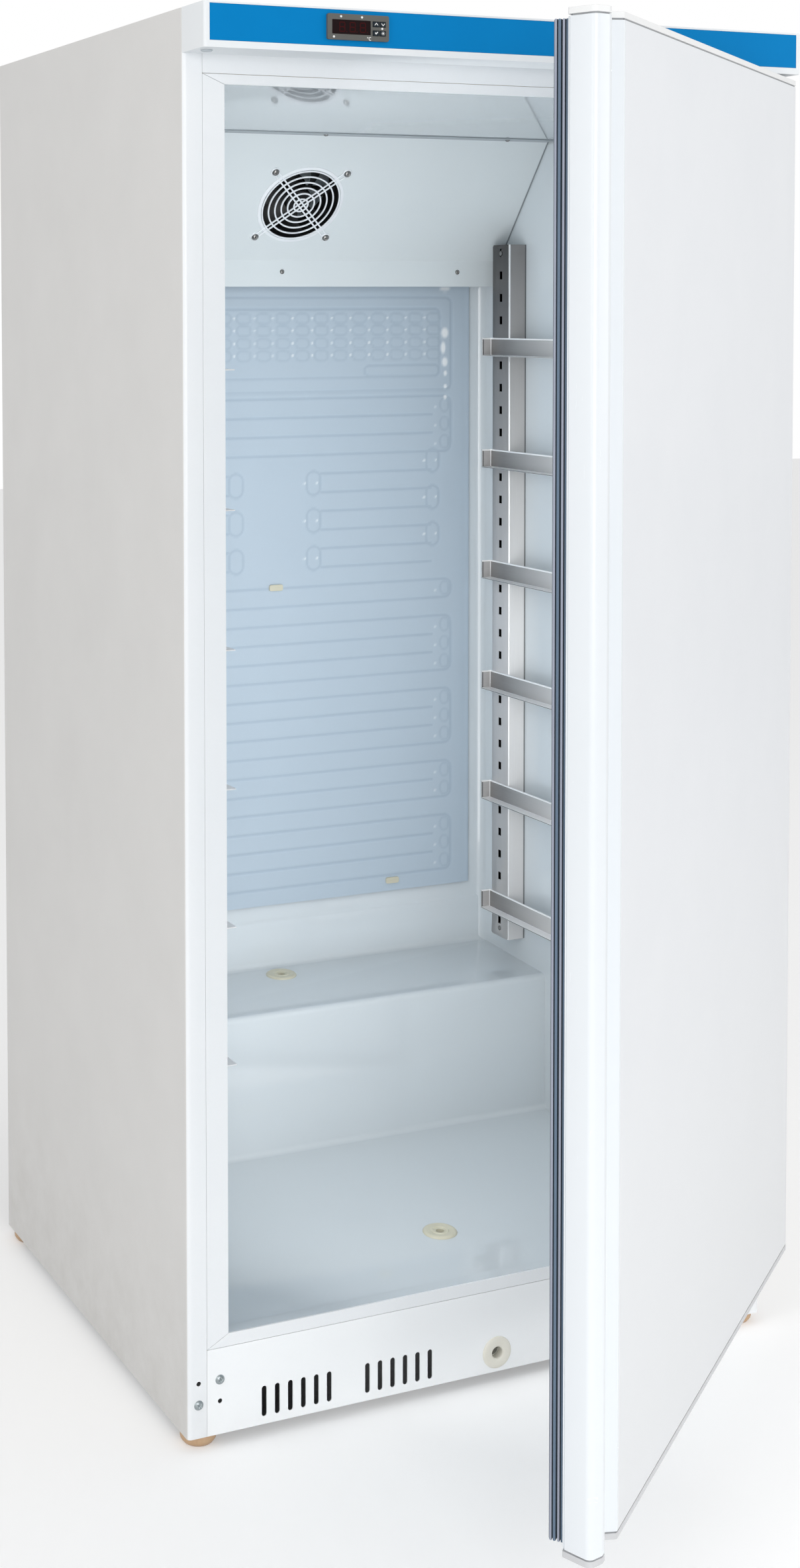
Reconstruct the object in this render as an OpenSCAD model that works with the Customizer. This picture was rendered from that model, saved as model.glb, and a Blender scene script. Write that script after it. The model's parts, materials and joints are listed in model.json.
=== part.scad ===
// Upright bakery refrigerator with one door, standing open.
// Millimetres. The origin is on the floor, in the middle of the cabinet's footprint.
// X runs to the right, Y to the back, Z up. Most modules work in depths measured from the
// cabinet's front face, and from_front() carries them to that face.

/* [Cabinet] */
// Width of the cabinet over its side panels
cabinet_w = 900; // [880:1:930]
// Depth of the cabinet from its front face to its back
cabinet_d = 730; // [728:1:760]
// Height of the cabinet's top above the floor
cabinet_top = 1850; // [1845:1:1880]
// Height of the feet
foot_h = 15; // [12:1:22]
// Radius of the feet
foot_r = 24; // [18:1:26]
// Thickness of the sheet steel
sheet = 1; // [0.8:0.1:1.2]
// Radius of the side panels' front corners
corner_r = 6; // [4:1:8]
// Width of the side panels' front flanges
front_flange = 27; // [24:1:30]
// Width of the side panels' rear flanges
rear_flange = 14; // [10:1:18]
// Gap left between neighbouring pieces of the front
seam = 0.4; // [0.2:0.1:0.6]

/* [Opening and liner] */
// Distance of the front opening from the cabinet's sides
opening_side = 58; // [56:1:70]
// Height of the opening's lower edge
opening_z0 = 146; // [140:1:150]
// Distance of the opening's upper edge below the cabinet's top
opening_drop = 94; // [90:1:150]
// Height of the frame strip above the opening
frame_top = 13; // [10:1:16]
// Height of the frame strip below the opening
frame_bottom = 17; // [14:1:20]
// Thickness of the frame strips
frame_t = 3; // [2:0.5:4]
// How far the liner's walls stand back from the opening's edges
liner_side = 2; // [0:1:8]
// Distance of the liner's back wall from the cabinet's back
back_foam = 40; // [36:1:50]
// Wall of the liner
liner_t = 3; // [2:0.5:4]
// Slope of the floor, the step and the ceiling, in degrees
draft = 2; // [1:0.1:2.5]
// Depth of the step, from its front face to the liner's back wall
step_d = 202; // [190:1:220]
// Height of the step's front edge
step_z = 381; // [370:1:395]
// Depth of the sill at the front of the floor
sill_d = 22; // [16:1:30]
// Height of the sill over the floor
sill_h = 2.5; // [1:0.5:4]
// Radius of the liner's back corners
liner_corner_r = 18; // [10:1:30]
// Radius of the edges along the floor and the step
step_edge_r = 9; // [5:1:12]
// Height of the ledge low on the back wall
ledge_z = 462; // [440:1:470]
// How far the ledge stands out of the back wall
ledge_d = 3; // [2:0.5:4]

/* [Compressor space] */
// Height of the floor's underside
underside_z = 102; // [96:1:108]
// Height of the space's ceiling
bay_z = 338; // [325:1:340]
// Foam between the step and the space's front wall
step_foam = 40; // [30:1:42]
// Clearance round each block of foam
foam_gap = 0.2; // [0.1:0.1:0.4]

/* [Header] */
// Height of the header
header_h = 56.5; // [50:0.5:60]
// How far the header stands out of the front face
header_d = 69; // [66:1:80]
// Wall of the header
header_wall = 2.5; // [2:0.5:4]
// Height of the blue strip
strip_h = 45.5; // [42:0.5:47]
// Distance of the strip below the header's top
strip_drop = 2.5; // [2:0.5:6]
// White border at each end of the strip
strip_border = 7.5; // [4:0.5:12]
// Thickness of the strip
strip_t = 1.2; // [0.8:0.1:1.6]

/* [Controller] */
// Distance of the controller's middle from the cabinet's left side
ctrl_side = 210.2; // [150:0.1:750]
// Distance of the controller's middle below the cabinet's top
ctrl_drop = 24.3; // [20:0.1:30]
// Width of the controller's bezel
ctrl_w = 86.8; // [80:0.1:96]
// Height of the controller's bezel
ctrl_h = 32.4; // [30:0.1:36]
// How far the bezel stands out of the header
bezel_t = 4; // [3:0.5:5]
// Width of the controller's body behind the bezel
ctrl_body_w = 74; // [70:1:78]
// Height of the controller's body
ctrl_body_h = 28; // [24:1:30]
// Length of the controller's body
ctrl_body_d = 52; // [40:1:60]
// Width of the display window
window_w = 54.3; // [50:0.1:58]
// Height of the display window
window_h = 18; // [16:0.1:20]
// Thickness of the display window
window_t = 1.4; // [1:0.1:2]
// Distance of the window's middle from the bezel's left edge
window_x = 33.6; // [30:0.1:36]
// Width of one key
key_w = 8.5; // [7:0.1:9]
// Height of one key
key_h = 6.5; // [5:0.1:7]
// Distance between the keys' middles across
key_pitch_x = 9.6; // [9.3:0.1:11]
// Distance between the keys' middles in height
key_pitch_z = 11.2; // [9:0.1:13]
// Distance of the keys' middle from the bezel's left edge
keys_x = 72.8; // [70:0.1:74]
// Travel of a key
key_travel = 0.8; // [0.4:0.1:1]
// Clearance round a key
key_gap = 0.3; // [0.2:0.1:0.4]

/* [Fan cover] */
// Distance of the cover's lower flange from the liner's back wall
cover_back = 56; // [50:1:70]
// Distance of the bend over that flange below the opening's upper edge
cover_drop_z = 207; // [196:1:226]
// Height of the lower flange
cover_flange = 42; // [30:1:50]
// Slope of the cover, in degrees
cover_slope = 51.6; // [48:0.1:56]
// Width of the flange along the ceiling
cover_top_flange = 20; // [14:1:26]
// Thickness of the cover
cover_t = 1.2; // [1:0.1:2]
// Distance between neighbouring cover screws
cover_screw_pitch = 322; // [300:1:330]
// Middle of the fan and of the cover's screws, from the cabinet's middle
fan_x = -10; // [-40:1:40]
// Distance of the fan's middle from the bend, up the slope
fan_up = 109.5; // [100:0.5:120]

/* [Fan] */
// Width of the fan's square housing
fan_w = 145; // [135:1:150]
// Depth of the housing
fan_d = 48; // [40:1:52]
// Radius of the housing's throat
throat_r = 66; // [60:1:67]
// Radius at the blades' tips
blade_r = 63; // [56:1:64]
// Radius of the impeller's hub
hub_r = 22; // [18:1:26]
// Radius of the motor's shaft
shaft_r = 2; // [1.5:0.1:3]
// Running clearance of the impeller on the shaft
shaft_gap = 0.05; // [0.02:0.01:0.1]
// Number of blades
blade_count = 7; // [5:1:9]
// Pitch of the blades, in degrees
blade_pitch = 38; // [25:1:45]
// Distance between the grille's screws, both ways
fan_screw_pitch = 124; // [118:1:128]
// Number of rings in the grille
ring_count = 6; // [4:1:8]
// Outer radius of the grille's smallest ring
first_ring_r = 13; // [10:1:16]
// Outer radius of the grille's flange
grille_r = 72; // [70:1:76]
// Width of a ring
ring_w = 2.4; // [1.8:0.1:3]

/* [Evaporator] */
// Distance of the evaporator plate from the side walls
plate_side = 31; // [24:1:54]
// Height of the plate's lower edge over the ledge
plate_lift = 30; // [18:1:48]
// Distance of the plate's upper edge below the opening's
plate_drop = 196; // [156:1:216]
// Thickness of the plate
plate_t = 1.5; // [1:0.1:2]
// Space between the plate and the liner's back wall
plate_gap = 5; // [4:0.5:8]
// How far the channels stand out of the plate
channel_h = 1.4; // [1:0.1:2]
// Width of a channel
channel_w = 9; // [7:0.5:12]
// Distance between neighbouring channels
channel_pitch = 31; // [28:1:32]
// Height kept over the channels for the pads
pad_space = 165; // [150:1:172]
// Distance between the pads in a row
pad_pitch = 31; // [28:1:36]
// Length of one pad
pad_l = 24; // [20:1:26]
// Width of one pad
pad_w = 13; // [10:1:15]
// Distance between the rows of pads
pad_row_pitch = 20; // [17:1:22]
// Width of a clip
clip_w = 24; // [18:1:28]
// Height of a clip
clip_h = 10; // [8:1:12]
// Distance of the clips from the plate's side edges
clip_side = 148; // [120:1:200]

/* [Tray runners] */
// How far the uprights stand out of the side walls
upright_out = 32; // [26:1:36]
// Width of an upright from front to back
upright_w = 52; // [44:1:56]
// Distance of the rear uprights' front faces from the liner's back wall
rear_upright_back = 138; // [130:1:150]
// Depth of the front uprights' front faces
front_upright_y = 82; // [80:1:100]
// Height of the uprights' lower ends
upright_z0 = 424; // [420:1:430]
// Distance of the uprights' upper ends below the opening's upper edge
upright_drop = 181; // [172:1:212]
// Thickness of the uprights and the runners
rail_t = 1.5; // [1.2:0.1:2]
// Distance between the uprights' holes
hole_pitch = 37; // [34:1:37]
// Height of the lowest hole's middle
first_hole_z = 452; // [445:1:456]
// Width of a hole
hole_w = 8; // [7:0.5:10]
// Height of a hole
hole_h = 13; // [11:0.5:15]
// Least distance of a hole's middle from the upright's upper end
hole_end = 12; // [9:0.5:13]
// Depth of the runners' front ends
runner_y = 78; // [74:1:80]
// How far the runners reach behind the rear uprights' front faces
runner_back = 56; // [54:1:71]
// Height of a runner
runner_h = 30; // [26:1:34]
// Width of a runner's shelf
runner_w = 18; // [14:1:22]
// Clearance of the runners' hooks in the holes
hook_gap = 0.5; // [0.3:0.1:0.8]

/* [Drains] */
// Middle of the drains, from the cabinet's middle
drain_x = 10; // [-20:1:40]
// Depth of the floor drain
floor_drain_y = 157; // [140:1:175]
// Middle of the step drain, from the cabinet's middle
step_drain_x = -9; // [-40:1:10]
// Distance of the step drain from the liner's back wall
step_drain_back = 45; // [35:1:60]
// Radius of a drain plug's flange
plug_r = 25; // [20:1:28]
// Radius of a drain plug's barrel
barrel_r = 12.5; // [11:0.5:14]
// Outer radius of the drain tubes
tube_r = 9; // [7:0.5:10]
// Wall of the drain tubes
tube_wall = 1.5; // [1:0.1:2]
// Height of the drain outlet in the plinth
outlet_z = 42; // [38:1:50]
// Outer radius of the outlet's bushing
outlet_r = 22; // [18:1:24]
// Radius of the outlet's bore
outlet_bore_r = 8; // [6:0.5:9]

/* [Vents] */
// Width of a vent slot
vent_w = 7; // [5:0.5:9]
// Height of the slots' lower ends
vent_z0 = 25.5; // [22:0.5:30]
// Height of the slots' upper ends
vent_z1 = 66; // [60:0.5:76]
// Distance between neighbouring slots
vent_pitch = 19; // [16:1:22]
// Number of slots in a group
vent_count = 6; // [4:1:7]
// Distance of the outer groups' middles from the cabinet's sides
vent_side = 146; // [138:1:170]

/* [Door] */
// Angle at which the door stands open, in degrees
door_open = 39.25; // [0:0.25:100]
// Thickness of the door without its gasket
door_t = 43; // [41:1:49]
// Gap between the closed door and the front face, filled by the gasket
gasket_t = 19; // [16:1:21]
// Height of the door's lower end
door_z0 = 125; // [124:1:130]
// Distance of the door's upper end below the cabinet's top
door_drop = 63; // [61:1:70]
// Thickness of the end caps
cap_t = 7; // [5:1:8]
// Seam between a cap and the door
cap_seam = 2; // [1:0.5:3]
// Length of the caps' plugs inside the door
cap_plug = 8; // [6:1:10]
// Wall of the handle profile
profile_t = 2; // [1.5:0.1:2.4]
// Width of the handle profile
profile_w = 74; // [70:1:80]
// Depth of the finger groove
groove_d = 12; // [8:1:15]
// Thickness of the inner panel
inner_t = 2; // [1.5:0.1:3]
// Height of the inner panel's raised field
field_h = 8; // [5:1:9]
// Border round the raised field
field_border = 64; // [56:1:80]
// Distance of the gasket from the door's edges
gasket_inset = 18; // [17:1:22]
// Distance of the gasket from the caps
gasket_end_inset = 2.5; // [2:0.5:8]
// Width of the gasket
gasket_w = 22; // [18:1:24]
// Clearance of the closed gasket from the front face
gasket_clear = 0.3; // [0.3:0.1:0.6]

/* [Hinges] */
// Distance of the hinge pins from the cabinet's side
hinge_inset = 17; // [16:1:20]
// Depth of the hinge pins behind the door's face
hinge_back = 24; // [20:1:26]
// Radius of the hinge pins
pin_r = 5; // [4:0.5:6]
// Running clearance of the bushes on the pins
pin_gap = 0.05; // [0.02:0.01:0.1]
// Outer radius of the bushes
bush_r = 8; // [7:0.5:9]
// Thickness of the hinge brackets
bracket_t = 3; // [2.5:0.5:4]
// Height of the lower bracket's shelf
bracket_z = 118; // [114:1:119]
// Clearance between the door's caps and the brackets' collars
collar_gap = 0.3; // [0.3:0.1:0.8]
// Height of the lower row of hinge screws
hinge_row_z = 58.8; // [57:0.1:60]
// Distance between the rows of hinge screws
hinge_row_pitch = 28.3; // [26:0.1:29]
// Distance of the inner column of hinge screws from the cabinet's side
hinge_column_x = 45.5; // [43:0.1:46]
// Distance between the columns of hinge screws
hinge_column_pitch = 30; // [29:0.1:31]
// Radius of the hinge screws' heads
screw_head_r = 6.5; // [5:0.5:7]
// Radius of the hinge screws' shanks
screw_r = 2.9; // [2:0.1:3]
// Clearance of the screws in their holes
screw_gap = 0.2; // [0.1:0.1:0.4]

/* [Refrigeration] */
// Middle of the compressor, from the cabinet's middle
compressor_x = -60; // [-120:1:0]
// Distance of the compressor's middle from the cabinet's back
compressor_back = 98; // [90:1:105]
// Radius of the compressor's shell
shell_r = 82; // [75:1:85]
// Height of the compressor's shell
shell_h = 186; // [160:1:195]
// Height of the compressor's rubber mounts
mount_h = 18; // [14:1:22]
// Radius of the condenser's tube
pipe_r = 2.4; // [2:0.1:3]
// Distance between the condenser's runs
pass_pitch = 66; // [60:1:66]
// Least distance of the condenser below the cabinet's top
condenser_drop = 165; // [150:1:170]
// Height of the condenser's lowest run
pass_z0 = 426; // [420:1:440]
// Distance of the runs' straight ends from the cabinet's sides
pass_side = 150; // [140:1:190]
// Distance of the condenser behind the back panel
condenser_out = 15; // [12:1:20]
// Radius of the condenser's wires
wire_r = 0.8; // [0.6:0.1:1]
// Distance between the condenser's wires
wire_pitch = 48; // [40:1:60]

/* [Hidden] */

$fn = 48;

// Half width between the side panels' webs, and the front face's depth in the whole
half_w = cabinet_w / 2;
web_x = half_w - sheet;
front_y = -cabinet_d / 2;
face_half = half_w - front_flange - seam;

// The cabinet's pieces, in heights and in depths from the front face
opening_w = cabinet_w - 2 * opening_side;
opening_z1 = cabinet_top - opening_drop;
liner_w = opening_w + 2 * liner_side;
liner_d = cabinet_d - back_foam;
step_y = liner_d - step_d;
frame_z0 = opening_z0 - frame_bottom;
frame_z1 = opening_z1 + frame_top;
top_inner = cabinet_top - sheet;
back_y = cabinet_d - sheet;
liner_half = liner_w / 2;
liner_outer = liner_half + liner_t;
step_top_back_z = step_z + tan(draft) * (liner_d - step_y);
bay_y = step_y + liner_t + step_foam;
panel_t = 1.2;
white = [0.91, 0.93, 0.94];
ivory = [0.85, 0.83, 0.74];
steel = [0.66, 0.67, 0.68];

// The ceiling's and the floor's height at a depth
function ceiling_z(y) = opening_z1 - tan(draft) * y;
function floor_z(y) = opening_z0 + tan(draft) * (y - sill_d) - sill_h;
function step_top_z(y) = step_z + tan(draft) * (y - step_y);

// The header's pieces, in heights and across from the cabinet's middle
header_z0 = cabinet_top - header_h;
strip_z1 = cabinet_top - strip_drop;
strip_z0 = strip_z1 - strip_h;
ctrl_x = ctrl_side - half_w;
ctrl_z = cabinet_top - ctrl_drop;
vent_group_pitch = (half_w - vent_side) / 2;

// The pieces on the liner's back and side walls
plate_w = liner_w - 2 * plate_side;
plate_z0 = ledge_z + plate_lift;
plate_z1 = opening_z1 - plate_drop;
rear_upright_y = liner_d - rear_upright_back;
upright_l = opening_z1 - upright_drop - upright_z0;
hole_count = 1 + floor((upright_z0 + upright_l - hole_end - first_hole_z) / hole_pitch);
runner_pairs = 6;
runner_step = floor((hole_count - 1) / runner_pairs);
runner_l = rear_upright_y + runner_back - runner_y;
step_drain_y = liner_d - step_drain_back;

// The fan cover's upper edge, where its slope meets the ceiling
cover_y = liner_d - cover_back;
cover_bend_z = opening_z1 - cover_drop_z;
cover_drop = cover_t + 0.3;
cover_top_y = (cover_bend_z + tan(cover_slope) * cover_y - opening_z1 + cover_drop)
    / (tan(cover_slope) - tan(draft));
cover_top_z = ceiling_z(cover_top_y) - cover_drop;
cover_half = liner_half - 0.5;
fan_y = cover_y - cos(cover_slope) * fan_up;
fan_z = cover_bend_z + sin(cover_slope) * fan_up;

// The door, closed, in depths from the front face
door_z1 = cabinet_top - door_drop;
door_inner_y = -gasket_t;
door_outer_y = door_inner_y - door_t;
hinge_rows = [hinge_row_z, hinge_row_z + hinge_row_pitch];
hinge_columns = [half_w - hinge_column_x, half_w - hinge_column_x + hinge_column_pitch];
hinge_x = half_w - hinge_inset;
hinge_y = door_outer_y + hinge_back;
body_z0 = door_z0 + cap_t + cap_seam;
body_z1 = door_z1 - cap_t - cap_seam;
profile_u = cabinet_w - profile_w;
gasket_x = half_w - gasket_inset;
gasket_z0 = door_z0 + cap_t + gasket_end_inset;
gasket_z1 = door_z1 - cap_t - gasket_end_inset;

// The compressor's place on the base pan
pan_top = foot_h + panel_t;
shell_z0 = pan_top + mount_h + 3;
shell_top = shell_z0 + shell_h;
compressor_y = cabinet_d - compressor_back;
condenser_y = cabinet_d - sheet + condenser_out;
pass_half = half_w - pass_side;
pass_room = cabinet_top - condenser_drop - pass_z0;
pass_count = 2 * floor((pass_room / pass_pitch + 1) / 2);
pass_top = pass_z0 + (pass_count - 1) * pass_pitch;
bend_r = pass_pitch / 2;
pipe_bend = 18;
riser_x = -pass_half - 60;
drier_x = -pass_half - pipe_bend;

// A point on a circle, and the points along an arc
function polar(r, a) = [r * cos(a), r * sin(a)];
function arc(c, r, a0, a1, n) = [for (i = [0:n]) c + polar(r, a0 + (a1 - a0) * i / n)];
function unit(v) = v / norm(v);
function wrap(a) = a > 180 ? a - 360 : a < -180 ? a + 360 : a;

// The arc that rounds the corner b between a and c
function fillet(a, b, c, r, n) =
    r <= 0 ? [b] :
    let (
        u = unit(a - b), v = unit(c - b),
        half = acos(max(-1, min(1, u * v))) / 2,
        centre = b + unit(u + v) * r / sin(half),
        s = b + u * r / tan(half) - centre,
        e = b + v * r / tan(half) - centre,
        a0 = atan2(s[1], s[0]),
        sweep = wrap(atan2(e[1], e[0]) - a0)
    )
    [for (i = [0:n]) centre + polar(r, a0 + sweep * i / n)];

// A closed outline with its corners rounded by the radii
function rounded(p, r, n = 6) = [
    for (i = [0:len(p) - 1])
        for (q = fillet(p[(i + len(p) - 1) % len(p)], p[i], p[(i + 1) % len(p)], r[i], n)) q
];
function rounded_rectangle(w, h, r, n = 6) =
    rounded([[-w / 2, -h / 2], [w / 2, -h / 2], [w / 2, h / 2], [-w / 2, h / 2]], [r, r, r, r], n);

// The left-hand normal of a line, and a path moved sideways by t
function left_normal(a, b) = let (d = unit(b - a)) [-d[1], d[0]];
function mitre(a, b, c, t) =
    let (m = left_normal(a, b), n = left_normal(b, c)) b + t * (m + n) / (1 + m * n);
function beside(p, t) = [
    for (i = [0:len(p) - 1])
        i == 0 ? p[0] + t * left_normal(p[0], p[1]) :
        i == len(p) - 1 ? p[i] + t * left_normal(p[i - 1], p[i]) :
        mitre(p[i - 1], p[i], p[i + 1], t)
];
// The outline of a bent sheet that follows a path
function bent_sheet(p, t) =
    let (q = beside(p, t)) concat(p, [for (i = [len(q) - 1:-1:0]) q[i]]);
// A closed outline moved inwards by t, where the outline runs anticlockwise
function inset(p, t) = [
    for (i = [0:len(p) - 1])
        mitre(p[(i + len(p) - 1) % len(p)], p[i], p[(i + 1) % len(p)], t)
];

module from_front() translate([0, front_y, 0]) children();

// Both sides of the cabinet, the right-hand one mirrored
module both_sides() {
    children();
    mirror([1, 0, 0]) children();
}

// An outline in depth and height, drawn out across the cabinet from -half to half
module across(half) {
    translate([-half, 0, 0]) rotate([90, 0, 90]) linear_extrude(2 * half) children();
}

// An outline in width and height, drawn out in depth from y0 to y1
module in_depth(y0, y1) {
    translate([0, y1, 0]) rotate([90, 0, 0]) linear_extrude(y1 - y0) children();
}

// A round bar along the depth, at [x, y0, z]
module bar_y(p, r, l) translate(p) rotate([-90, 0, 0]) cylinder(r = r, h = l);

// An upright slot with round ends, from z0 to z1
module slot(x, z0, z1, w, y0, y1) {
    for (z = [z0 + w / 2, z1 - w / 2]) bar_y([x, y0, z], w / 2, y1 - y0);
    translate([x - w / 2, y0, z0 + w / 2]) cube([w, y1 - y0, z1 - z0 - w]);
}

// A quarter or half ring round c from the start angle on: in plane "flat" the angle runs from
// X to Y, in "front" from X to Z, and in "side" from Y to Z
module bend(c, plane, start, r, angle = 90) {
    turn = plane == "flat" ? [0, 0, 0] : plane == "front" ? [90, 0, 0] : [90, 0, 90];
    translate(c) rotate(turn) rotate([0, 0, start]) rotate_extrude(angle = angle)
        translate([r, 0]) children();
}

// Places on the fan cover: x across, y up the slope, z out of its front face
module on_slope() {
    from_front() translate([fan_x, fan_y, fan_z]) rotate([180 - cover_slope, 0, 0]) children();
}

// Closed places of the door, carried to where it stands open
module on_door() {
    translate([hinge_x, front_y + hinge_y, 0]) rotate([0, 0, door_open])
        translate([-hinge_x, -hinge_y, 0]) children();
}

// A place on the door: u from its hinge edge, n outwards from its face
function door_at(p) = [half_w - p[0], door_outer_y - p[1]];

// A dome-headed screw along +Z, its head's seat at 0 and its shank below
module dome_screw(head_r, head_h, shank_r, shank_l) {
    sphere_r = (head_r * head_r + head_h * head_h) / (2 * head_h);
    edge = asin(head_r / sphere_r);
    rotate_extrude() polygon(concat(
        [[0, -shank_l], [shank_r, -shank_l], [shank_r, 0]],
        arc([0, head_h - sphere_r], sphere_r, 90 - edge, 90, 8)
    ));
}

// Cabinet shell

// Plan of the left side panel, round its front corner and into its rear flange
module side_plan() {
    polygon(rounded(
        [
            [-half_w + front_flange, 0], [-half_w, 0], [-half_w, cabinet_d],
            [-half_w + rear_flange, cabinet_d], [-half_w + rear_flange, back_y],
            [-web_x, back_y], [-web_x, sheet], [-half_w + front_flange, sheet]
        ],
        [0, corner_r, 1, 0, 0, 0, corner_r - sheet, 0]
    ));
}

module side_panel() {
    from_front() difference() {
        translate([0, 0, foot_h]) linear_extrude(cabinet_top - foot_h) side_plan();
        for (z = hinge_rows) bar_y([-hinge_columns[1], -1, z], screw_r + screw_gap, sheet + 2);
    }
}

module side_panel_left() {
    color([0.84, 0.84, 0.83]) side_panel();
}

module side_panel_right() {
    color([0.84, 0.84, 0.83]) mirror([1, 0, 0]) side_panel();
}

module top_panel() {
    color(white) from_front() translate([0, 0, top_inner]) linear_extrude(sheet) polygon(rounded(
        [[-web_x, sheet], [web_x, sheet], [web_x, back_y], [-web_x, back_y]], [corner_r, corner_r, 0, 0]
    ));
}

module back_panel() {
    color([0.72, 0.73, 0.74]) from_front()
        translate([-web_x, back_y - sheet, bay_z]) cube([2 * web_x, sheet, top_inner - bay_z]);
}

// The pan under the compressor, turned up at both sides
module base_pan() {
    lip = 22;
    color(steel) from_front() in_depth(corner_r, back_y)
        polygon([
            [-web_x, foot_h], [web_x, foot_h], [web_x, foot_h + lip],
            [web_x - panel_t, foot_h + lip], [web_x - panel_t, pan_top],
            [-web_x + panel_t, pan_top], [-web_x + panel_t, foot_h + lip], [-web_x, foot_h + lip]
        ]);
}

// One sheet under the floor, up the compressor space's front wall and over its top
module underside_panel() {
    path = [
        [corner_r, underside_z], [bay_y, underside_z], [bay_y, bay_z], [back_y - sheet, bay_z]
    ];
    color(steel) from_front() difference() {
        across(web_x) polygon(bent_sheet(path, sheet));
        for (d = drains) translate([d[0], d[1], underside_z - 5])
            cylinder(r = tube_r + 0.6, h = bay_z - underside_z + 10);
    }
}

// Middle, depth and floor height of each drain
drains = [
    [drain_x, floor_drain_y, floor_z(floor_drain_y)],
    [step_drain_x, step_drain_y, step_top_z(step_drain_y)]
];

module plinth_panel() {
    color(white) from_front() difference() {
        translate([-face_half, 0, foot_h]) cube([2 * face_half, panel_t, frame_z0 - seam - foot_h]);
        for (g = [-2, -1, 1, 2]) for (i = [0:vent_count - 1])
            slot(
                drain_x + g * vent_group_pitch + (i - (vent_count - 1) / 2) * vent_pitch,
                vent_z0, vent_z1, vent_w, -1, panel_t + 1
            );
        bar_y([drain_x, -1, outlet_z], outlet_r - 7, panel_t + 2);
        for (s = [-1, 1]) for (z = hinge_rows)
            bar_y([s * hinge_columns[0], -1, z], screw_r + screw_gap, panel_t + 2);
    }
}

module top_rail() {
    z0 = frame_z1 + seam;
    color(white) from_front()
        translate([-face_half, 0, z0]) cube([2 * face_half, panel_t, top_inner - z0]);
}

// One mitred strip of the frame, between its inner and its outer edge
module frame_strip(inner_a, inner_b, outer_b, outer_a) {
    in_depth(0, frame_t) polygon([inner_a, inner_b, outer_b, outer_a]);
}

module front_frame() {
    g = seam / 2;
    x0 = opening_w / 2;
    x1 = face_half;
    color(white) from_front() {
        both_sides() frame_strip(
            [-x0, opening_z0 + g], [-x0, opening_z1 - g], [-x1, frame_z1 - g], [-x1, frame_z0 + g]
        );
        frame_strip(
            [-x0 + g, opening_z1], [x0 - g, opening_z1], [x1 - g, frame_z1], [-x1 + g, frame_z1]
        );
        frame_strip(
            [-x0 + g, opening_z0], [x0 - g, opening_z0], [x1 - g, frame_z0], [-x1 + g, frame_z0]
        );
    }
}

// Side outline of the liner, moved outwards by t and run forwards by e
function liner_side(t, e) = [
    [frame_t - e, opening_z0 - t], [sill_d, opening_z0 - t], [sill_d + 2, floor_z(sill_d + 2) - t],
    [step_y + t, floor_z(step_y) - t], [step_y + t, step_z - t],
    [liner_d - ledge_d + t, step_top_back_z - t], [liner_d - ledge_d + t, ledge_z],
    [liner_d + t, ledge_z + 2 * ledge_d], [liner_d + t, ceiling_z(liner_d) + t],
    [frame_t - e, ceiling_z(0) + t]
];
function liner_radii(t) = [
    0, 0, 0, step_edge_r + t, step_edge_r - t, step_edge_r + t, 0, 0, step_edge_r + t, 0
];

module liner_shape(t, e) {
    half = liner_half + t;
    r = liner_corner_r + t;
    intersection() {
        across(half) polygon(rounded(liner_side(t, e), liner_radii(t)));
        linear_extrude(cabinet_top) polygon(rounded(
            [[-half, frame_t - e], [half, frame_t - e], [half, liner_d + t], [-half, liner_d + t]],
            [0, 0, r, r]
        ));
    }
}

module inner_liner() {
    color([0.83, 0.88, 0.91]) from_front() difference() {
        liner_shape(liner_t, 0);
        liner_shape(0, 5);
        for (d = drains) translate([d[0], d[1], d[2] - 20]) cylinder(r = barrel_r + 0.7, h = 40);
        for (c = clip_places) bar_y([c[0], liner_d - 5, c[1]], 2.2, 20);
    }
}

// Foam between two heights given at the front and at the back, from depth y0 to y1
module foam(half, y0, y1, low0, low1, high0, high1) {
    across(half) polygon([
        [y0 + foam_gap, low0 + foam_gap], [y1 - foam_gap, low1 + foam_gap],
        [y1 - foam_gap, high1 - foam_gap], [y0 + foam_gap, high0 - foam_gap]
    ]);
}

// Blocks of foam round the liner, each a plain slab or wedge
module cabinet_insulation() {
    side_x = (liner_outer + web_x) / 2;
    side_half = (web_x - liner_outer) / 2 - foam_gap;
    under = underside_z + sheet;
    over_bay = bay_z + sheet;
    liner_back = liner_d + liner_t;
    inside = liner_outer - foam_gap;
    back = back_y - sheet;
    step_front = step_y + liner_t + foam_gap;
    step_top = step_z - liner_t - foam_gap;
    color([0.93, 0.88, 0.72]) from_front() difference() {
        union() {
            both_sides() translate([-side_x, 0, 0]) {
                foam(side_half, corner_r, bay_y - sheet, under, under, top_inner, top_inner);
                foam(side_half, bay_y - sheet, back, over_bay, over_bay, top_inner, top_inner);
            }
            foam(inside, liner_back, back, over_bay, over_bay, top_inner, top_inner);
            foam(inside, frame_t, liner_back, ceiling_z(0) + liner_t + foam_gap,
                ceiling_z(liner_back) + liner_t + foam_gap, top_inner, top_inner);
            foam(inside, frame_t, step_y + liner_t, under, under,
                floor_z(frame_t) - liner_t - foam_gap, floor_z(step_y) - liner_t - foam_gap);
            across(inside) polygon([
                [step_front, under], [bay_y - sheet - foam_gap, under],
                [bay_y - sheet - foam_gap, step_top], [step_front + step_edge_r, step_top],
                [step_front, step_top - step_edge_r]
            ]);
            foam(inside, bay_y - sheet, liner_back, over_bay, over_bay,
                step_top_z(bay_y - sheet) - liner_t - foam_gap,
                step_top_z(liner_back) - liner_t - foam_gap);
        }
        for (d = drains) translate([d[0], d[1], underside_z - 5])
            cylinder(r = barrel_r + 1.5, h = d[2] - underside_z + 10);
        for (c = clip_places) bar_y([c[0], liner_d, c[1]], 2.6, 12);
    }
}

// Header and controller

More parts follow.
